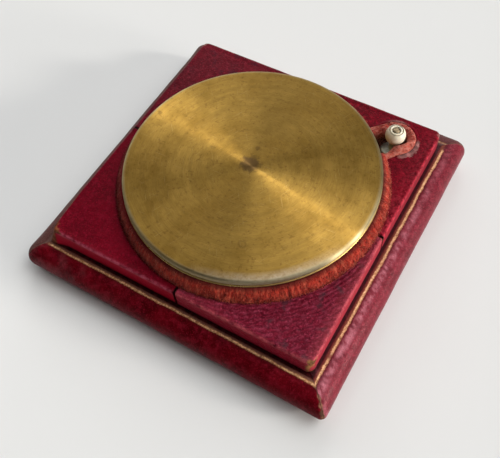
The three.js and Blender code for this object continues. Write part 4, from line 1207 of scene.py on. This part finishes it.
def add_dial_marks():
    """Engraved and blackened marks: degrees, points of the compass and a plain star."""
    thin = 0.02
    ring_top, plate_top = levels("degree_ring")[1], levels("dial_plate")[1]
    shapes = []

    def flat_piece(outline, heading, z):
        outline = spun(np.array(outline), -radians(heading)) + AXIS
        shapes.append(stack([at_height(outline, z), at_height(outline, z + thin)]))

    def hoop(radius, width, z):
        section = [(radius, z), (radius + width, z), (radius + width, z + thin), (radius, z + thin)]
        shapes.append(turned(section, AXIS, 180))

    def word(text, heading, radius, size, z):
        curve = bpy.data.curves.new("word", "FONT")
        curve.body, curve.size, curve.align_x, curve.align_y = text, size * MM, "CENTER", "CENTER"
        thing = shown("word", curve)
        points, faces = baked(thing)
        points = spun(points[:, :2] + (0, radius), -radians(heading)) + AXIS
        shapes.append((at_height(points, z + thin), faces))
        bpy.data.objects.remove(thing)

    for degree in range(0, 360, 2):
        start, half = (24.55, 0.07) if degree % 10 == 0 else (25.0, 0.045)
        flat_piece([(-half, start), (half, start), (half, 25.7), (-half, 25.7)], degree, ring_top)
    hoop(25.7, 0.1, ring_top)
    for degree in range(0, 360, 20):
        word(str(degree), degree, 23.35, 2.0, ring_top)
    hoop(20.3, 0.12, plate_top)
    hoop(19.8, 0.25, plate_top)
    for k, letters in enumerate(("N", "E", "S", "W")):
        word(letters, 90 * k, 17.3, 4.2, plate_top)
    for k, letters in enumerate(("NE", "SE", "SW", "NW")):
        word(letters, 90 * k + 45, 16.6, 2.4, plate_top)
    for turn, reach, waist in ((45, 10.5, 2.6), (0, 14.4, 2.9)):
        side = waist * sin(radians(45))
        for heading in range(turn, turn + 360, 90):
            flat_piece([(0, reach), (side, side + 1.5), (0, 3.4)], heading, plate_top)
            flat_piece([(-0.06, 3.4), (-side, side + 1.5), (-0.06, reach), (-side + 0.16, side + 1.5)],
                       heading, plate_top)
    points, faces, count = [], [], 0
    for shape_points, shape_faces in shapes:
        points.append(shape_points)
        faces += [[index + count for index in face] for face in shape_faces]
        count += len(shape_points)
    piece("dial_marks", (np.vstack(points), faces), METALS["enamel"], "compass", None, "silvered_brass")


def add_needle():
    """Compass needle: a lozenge with a ridge, blued on its north half, and its turned cap."""
    low, high = levels("needle")
    wide, long = NEEDLE_HALF
    corners = np.array([(wide, 0), (0, long), (-wide, 0), (0, -long), (wide, 0)])
    outline = np.vstack([np.linspace(a, b, 24, endpoint=False) for a, b in zip(corners, corners[1:])])
    eye = outline / np.hypot(*outline.T)[:, None] * 1.6
    rows = [at_height(eye, low), at_height(outline, low)]
    for t in np.linspace(0, 1, 10):
        flat = outline * (1 - t) + eye * t
        share = np.abs(flat[:, 0]) / np.maximum(wide * (1 - np.abs(flat[:, 1]) / long), 0.001)
        rows.append(at_height(flat, high - 0.22 * unit(share)))
    points = np.vstack(rows) + (*AXIS, 0)
    faces = quads(len(rows), len(outline), close_rows=True, close_columns=True)
    thing = piece("needle_blade", (points, faces), METALS["blued"], "needle", "needle", "blued_steel", 8)
    thing.data.materials.append(METALS["steel"])
    middles = np.array([points[face, 1].mean() for face in faces])
    thing.data.polygons.foreach_set("material_index", (middles < AXIS[1]).astype(np.int32))
    low, high = levels("needle_cap")
    tip = (low + high) / 2 + FIT
    flange, neck = low + 0.3, high - 0.5
    dome = [(1.3 * cos(a), neck + 0.5 * sin(a)) for a in np.linspace(0, pi / 2, 10)[1:-1]]
    profile = [(0, tip), (0.1, tip), (0.9, low), (2.15, low), (2.2, low + 0.06), (2.2, flange - 0.06),
               (2.14, flange), (1.3, flange), (1.3, neck), *dome, (0, high)]
    piece("needle_hub", turned(profile, AXIS, 64), METALS["small"], "needle", "needle_cap", "small_brass")


GOLD = ((244, 200, 150), (176, 122, 80))
# one leather for the four strips: the right strip's lighter colours are painted light, the left strip's darker ones
# painted shade
EDGE_LEATHER = {
    "front": leather("leather_front", (68, 0, 6), (102, 2, 14), (134, 22, 38), gilt=GOLD, dust=(124, 88, 72),
                     worn=(140, 96, 74), pale=(158, 86, 92), pit=0.25),
    "right": leather("leather_right", (84, 6, 20), (112, 20, 36), (138, 44, 58), gilt=((240, 192, 146), (190, 138, 96)),
                     dust=(110, 60, 38), pale=(186, 112, 124), worn=(140, 96, 74), gloss=0.42, shine=0.3, pit=0.3),
    "back": leather("leather_back", (70, 6, 16), (92, 12, 26), (108, 26, 38), gilt=GOLD, dust=(96, 70, 66),
                    worn=(110, 84, 76)),
    "left": leather("leather_left", (64, 12, 16), (80, 22, 26), (104, 46, 46), gilt=GOLD, dust=(114, 84, 76),
                    worn=(128, 106, 96)),
    "under": leather("leather_under", (70, 6, 16), (92, 12, 26), (112, 30, 40), worn=(120, 80, 70)),
}
COVER_LEATHER = {
    "near": leather("leather_near", (102, 14, 34), (124, 28, 48), (150, 56, 78), ribs=0.95, stains=(70, 44, 52),
                    pale=(196, 84, 92), lift=(158, 22, 46), depth=0.04, worn=(160, 110, 70)),
    "right": leather("leather_bright", (78, 0, 10), (104, 0, 18), (138, 12, 34), grain=0.5, pale=(204, 60, 76),
                     lift=(138, 34, 50), worn=(160, 106, 102)),
    "far": leather("leather_far", (86, 6, 20), (106, 12, 28), (122, 30, 44), stains=(66, 22, 34), pale=(160, 70, 80)),
    "left": leather("leather_smooth", (94, 0, 16), (112, 0, 22), (128, 12, 36), depth=0.015, pale=(190, 84, 104),
                    lift=(176, 6, 42), worn=(132, 74, 48), pit=0.35),
}
SUEDE = {
    "collar": suede("suede_orange", (138, 26, 18), (186, 62, 46), (222, 116, 88)),
    "recess": suede("suede_recess", (136, 36, 32), (180, 74, 62), (216, 132, 114), dust=(192, 122, 108)),
    "floor": suede("suede_floor", (116, 26, 28), (140, 44, 38), (160, 66, 52)),
}
LID_BRASS = lid_brass()
DRUM_BRASS = metal("brass_drum", (188, 156, 96), (160, 130, 80), size=3)
METALS = {
    "small": metal("brass_small", (196, 164, 100), (150, 120, 70)),
    "pin": metal("brass_pin", (150, 132, 104), (112, 96, 76), 0.4, 0.6),
    "steel": metal("steel", (172, 174, 178), (120, 112, 104)),
    "blued": metal("blued_steel", (34, 48, 96), (58, 52, 72), 0.25),
    "arrest": metal("arrest_metal", (206, 208, 194), (176, 180, 164), 0.5),
    "silvered": silvered(),
    "enamel": enamel(),
}
BONE = bone()

add_camera()
add_lights()
add_floor()
add_base_edges()
add_corner_covers()
add_suede_collar()
add_recess_lining()
add_suede_floor()
add_underside()
add_lid()
add_drum()
add_knob()
add_lever()
add_dial()
add_dial_marks()
add_needle()

PLAIN = (  # finishes of the CAD nodes that show as they are
    (wood("wood", (122, 88, 56), (168, 130, 88)), ["base_board"]),
    (wood("dyed_wood", (34, 12, 10), (52, 20, 16)), ["block_core"]),
    (clear_glass(), ["glass"]),
    (METALS["small"], ["lever_bracket", "lifting_collar"]),
    (METALS["steel"], ["pivot_post", "lever_pin", "bracket_screw_1", "bracket_screw_2", "arrest_spring",
                       "spring_screw"]),
)
for look, nodes in PLAIN:
    for node in nodes:
        for shown_slot in frame["nodes"][node].material_slots:
            shown_slot.material = look
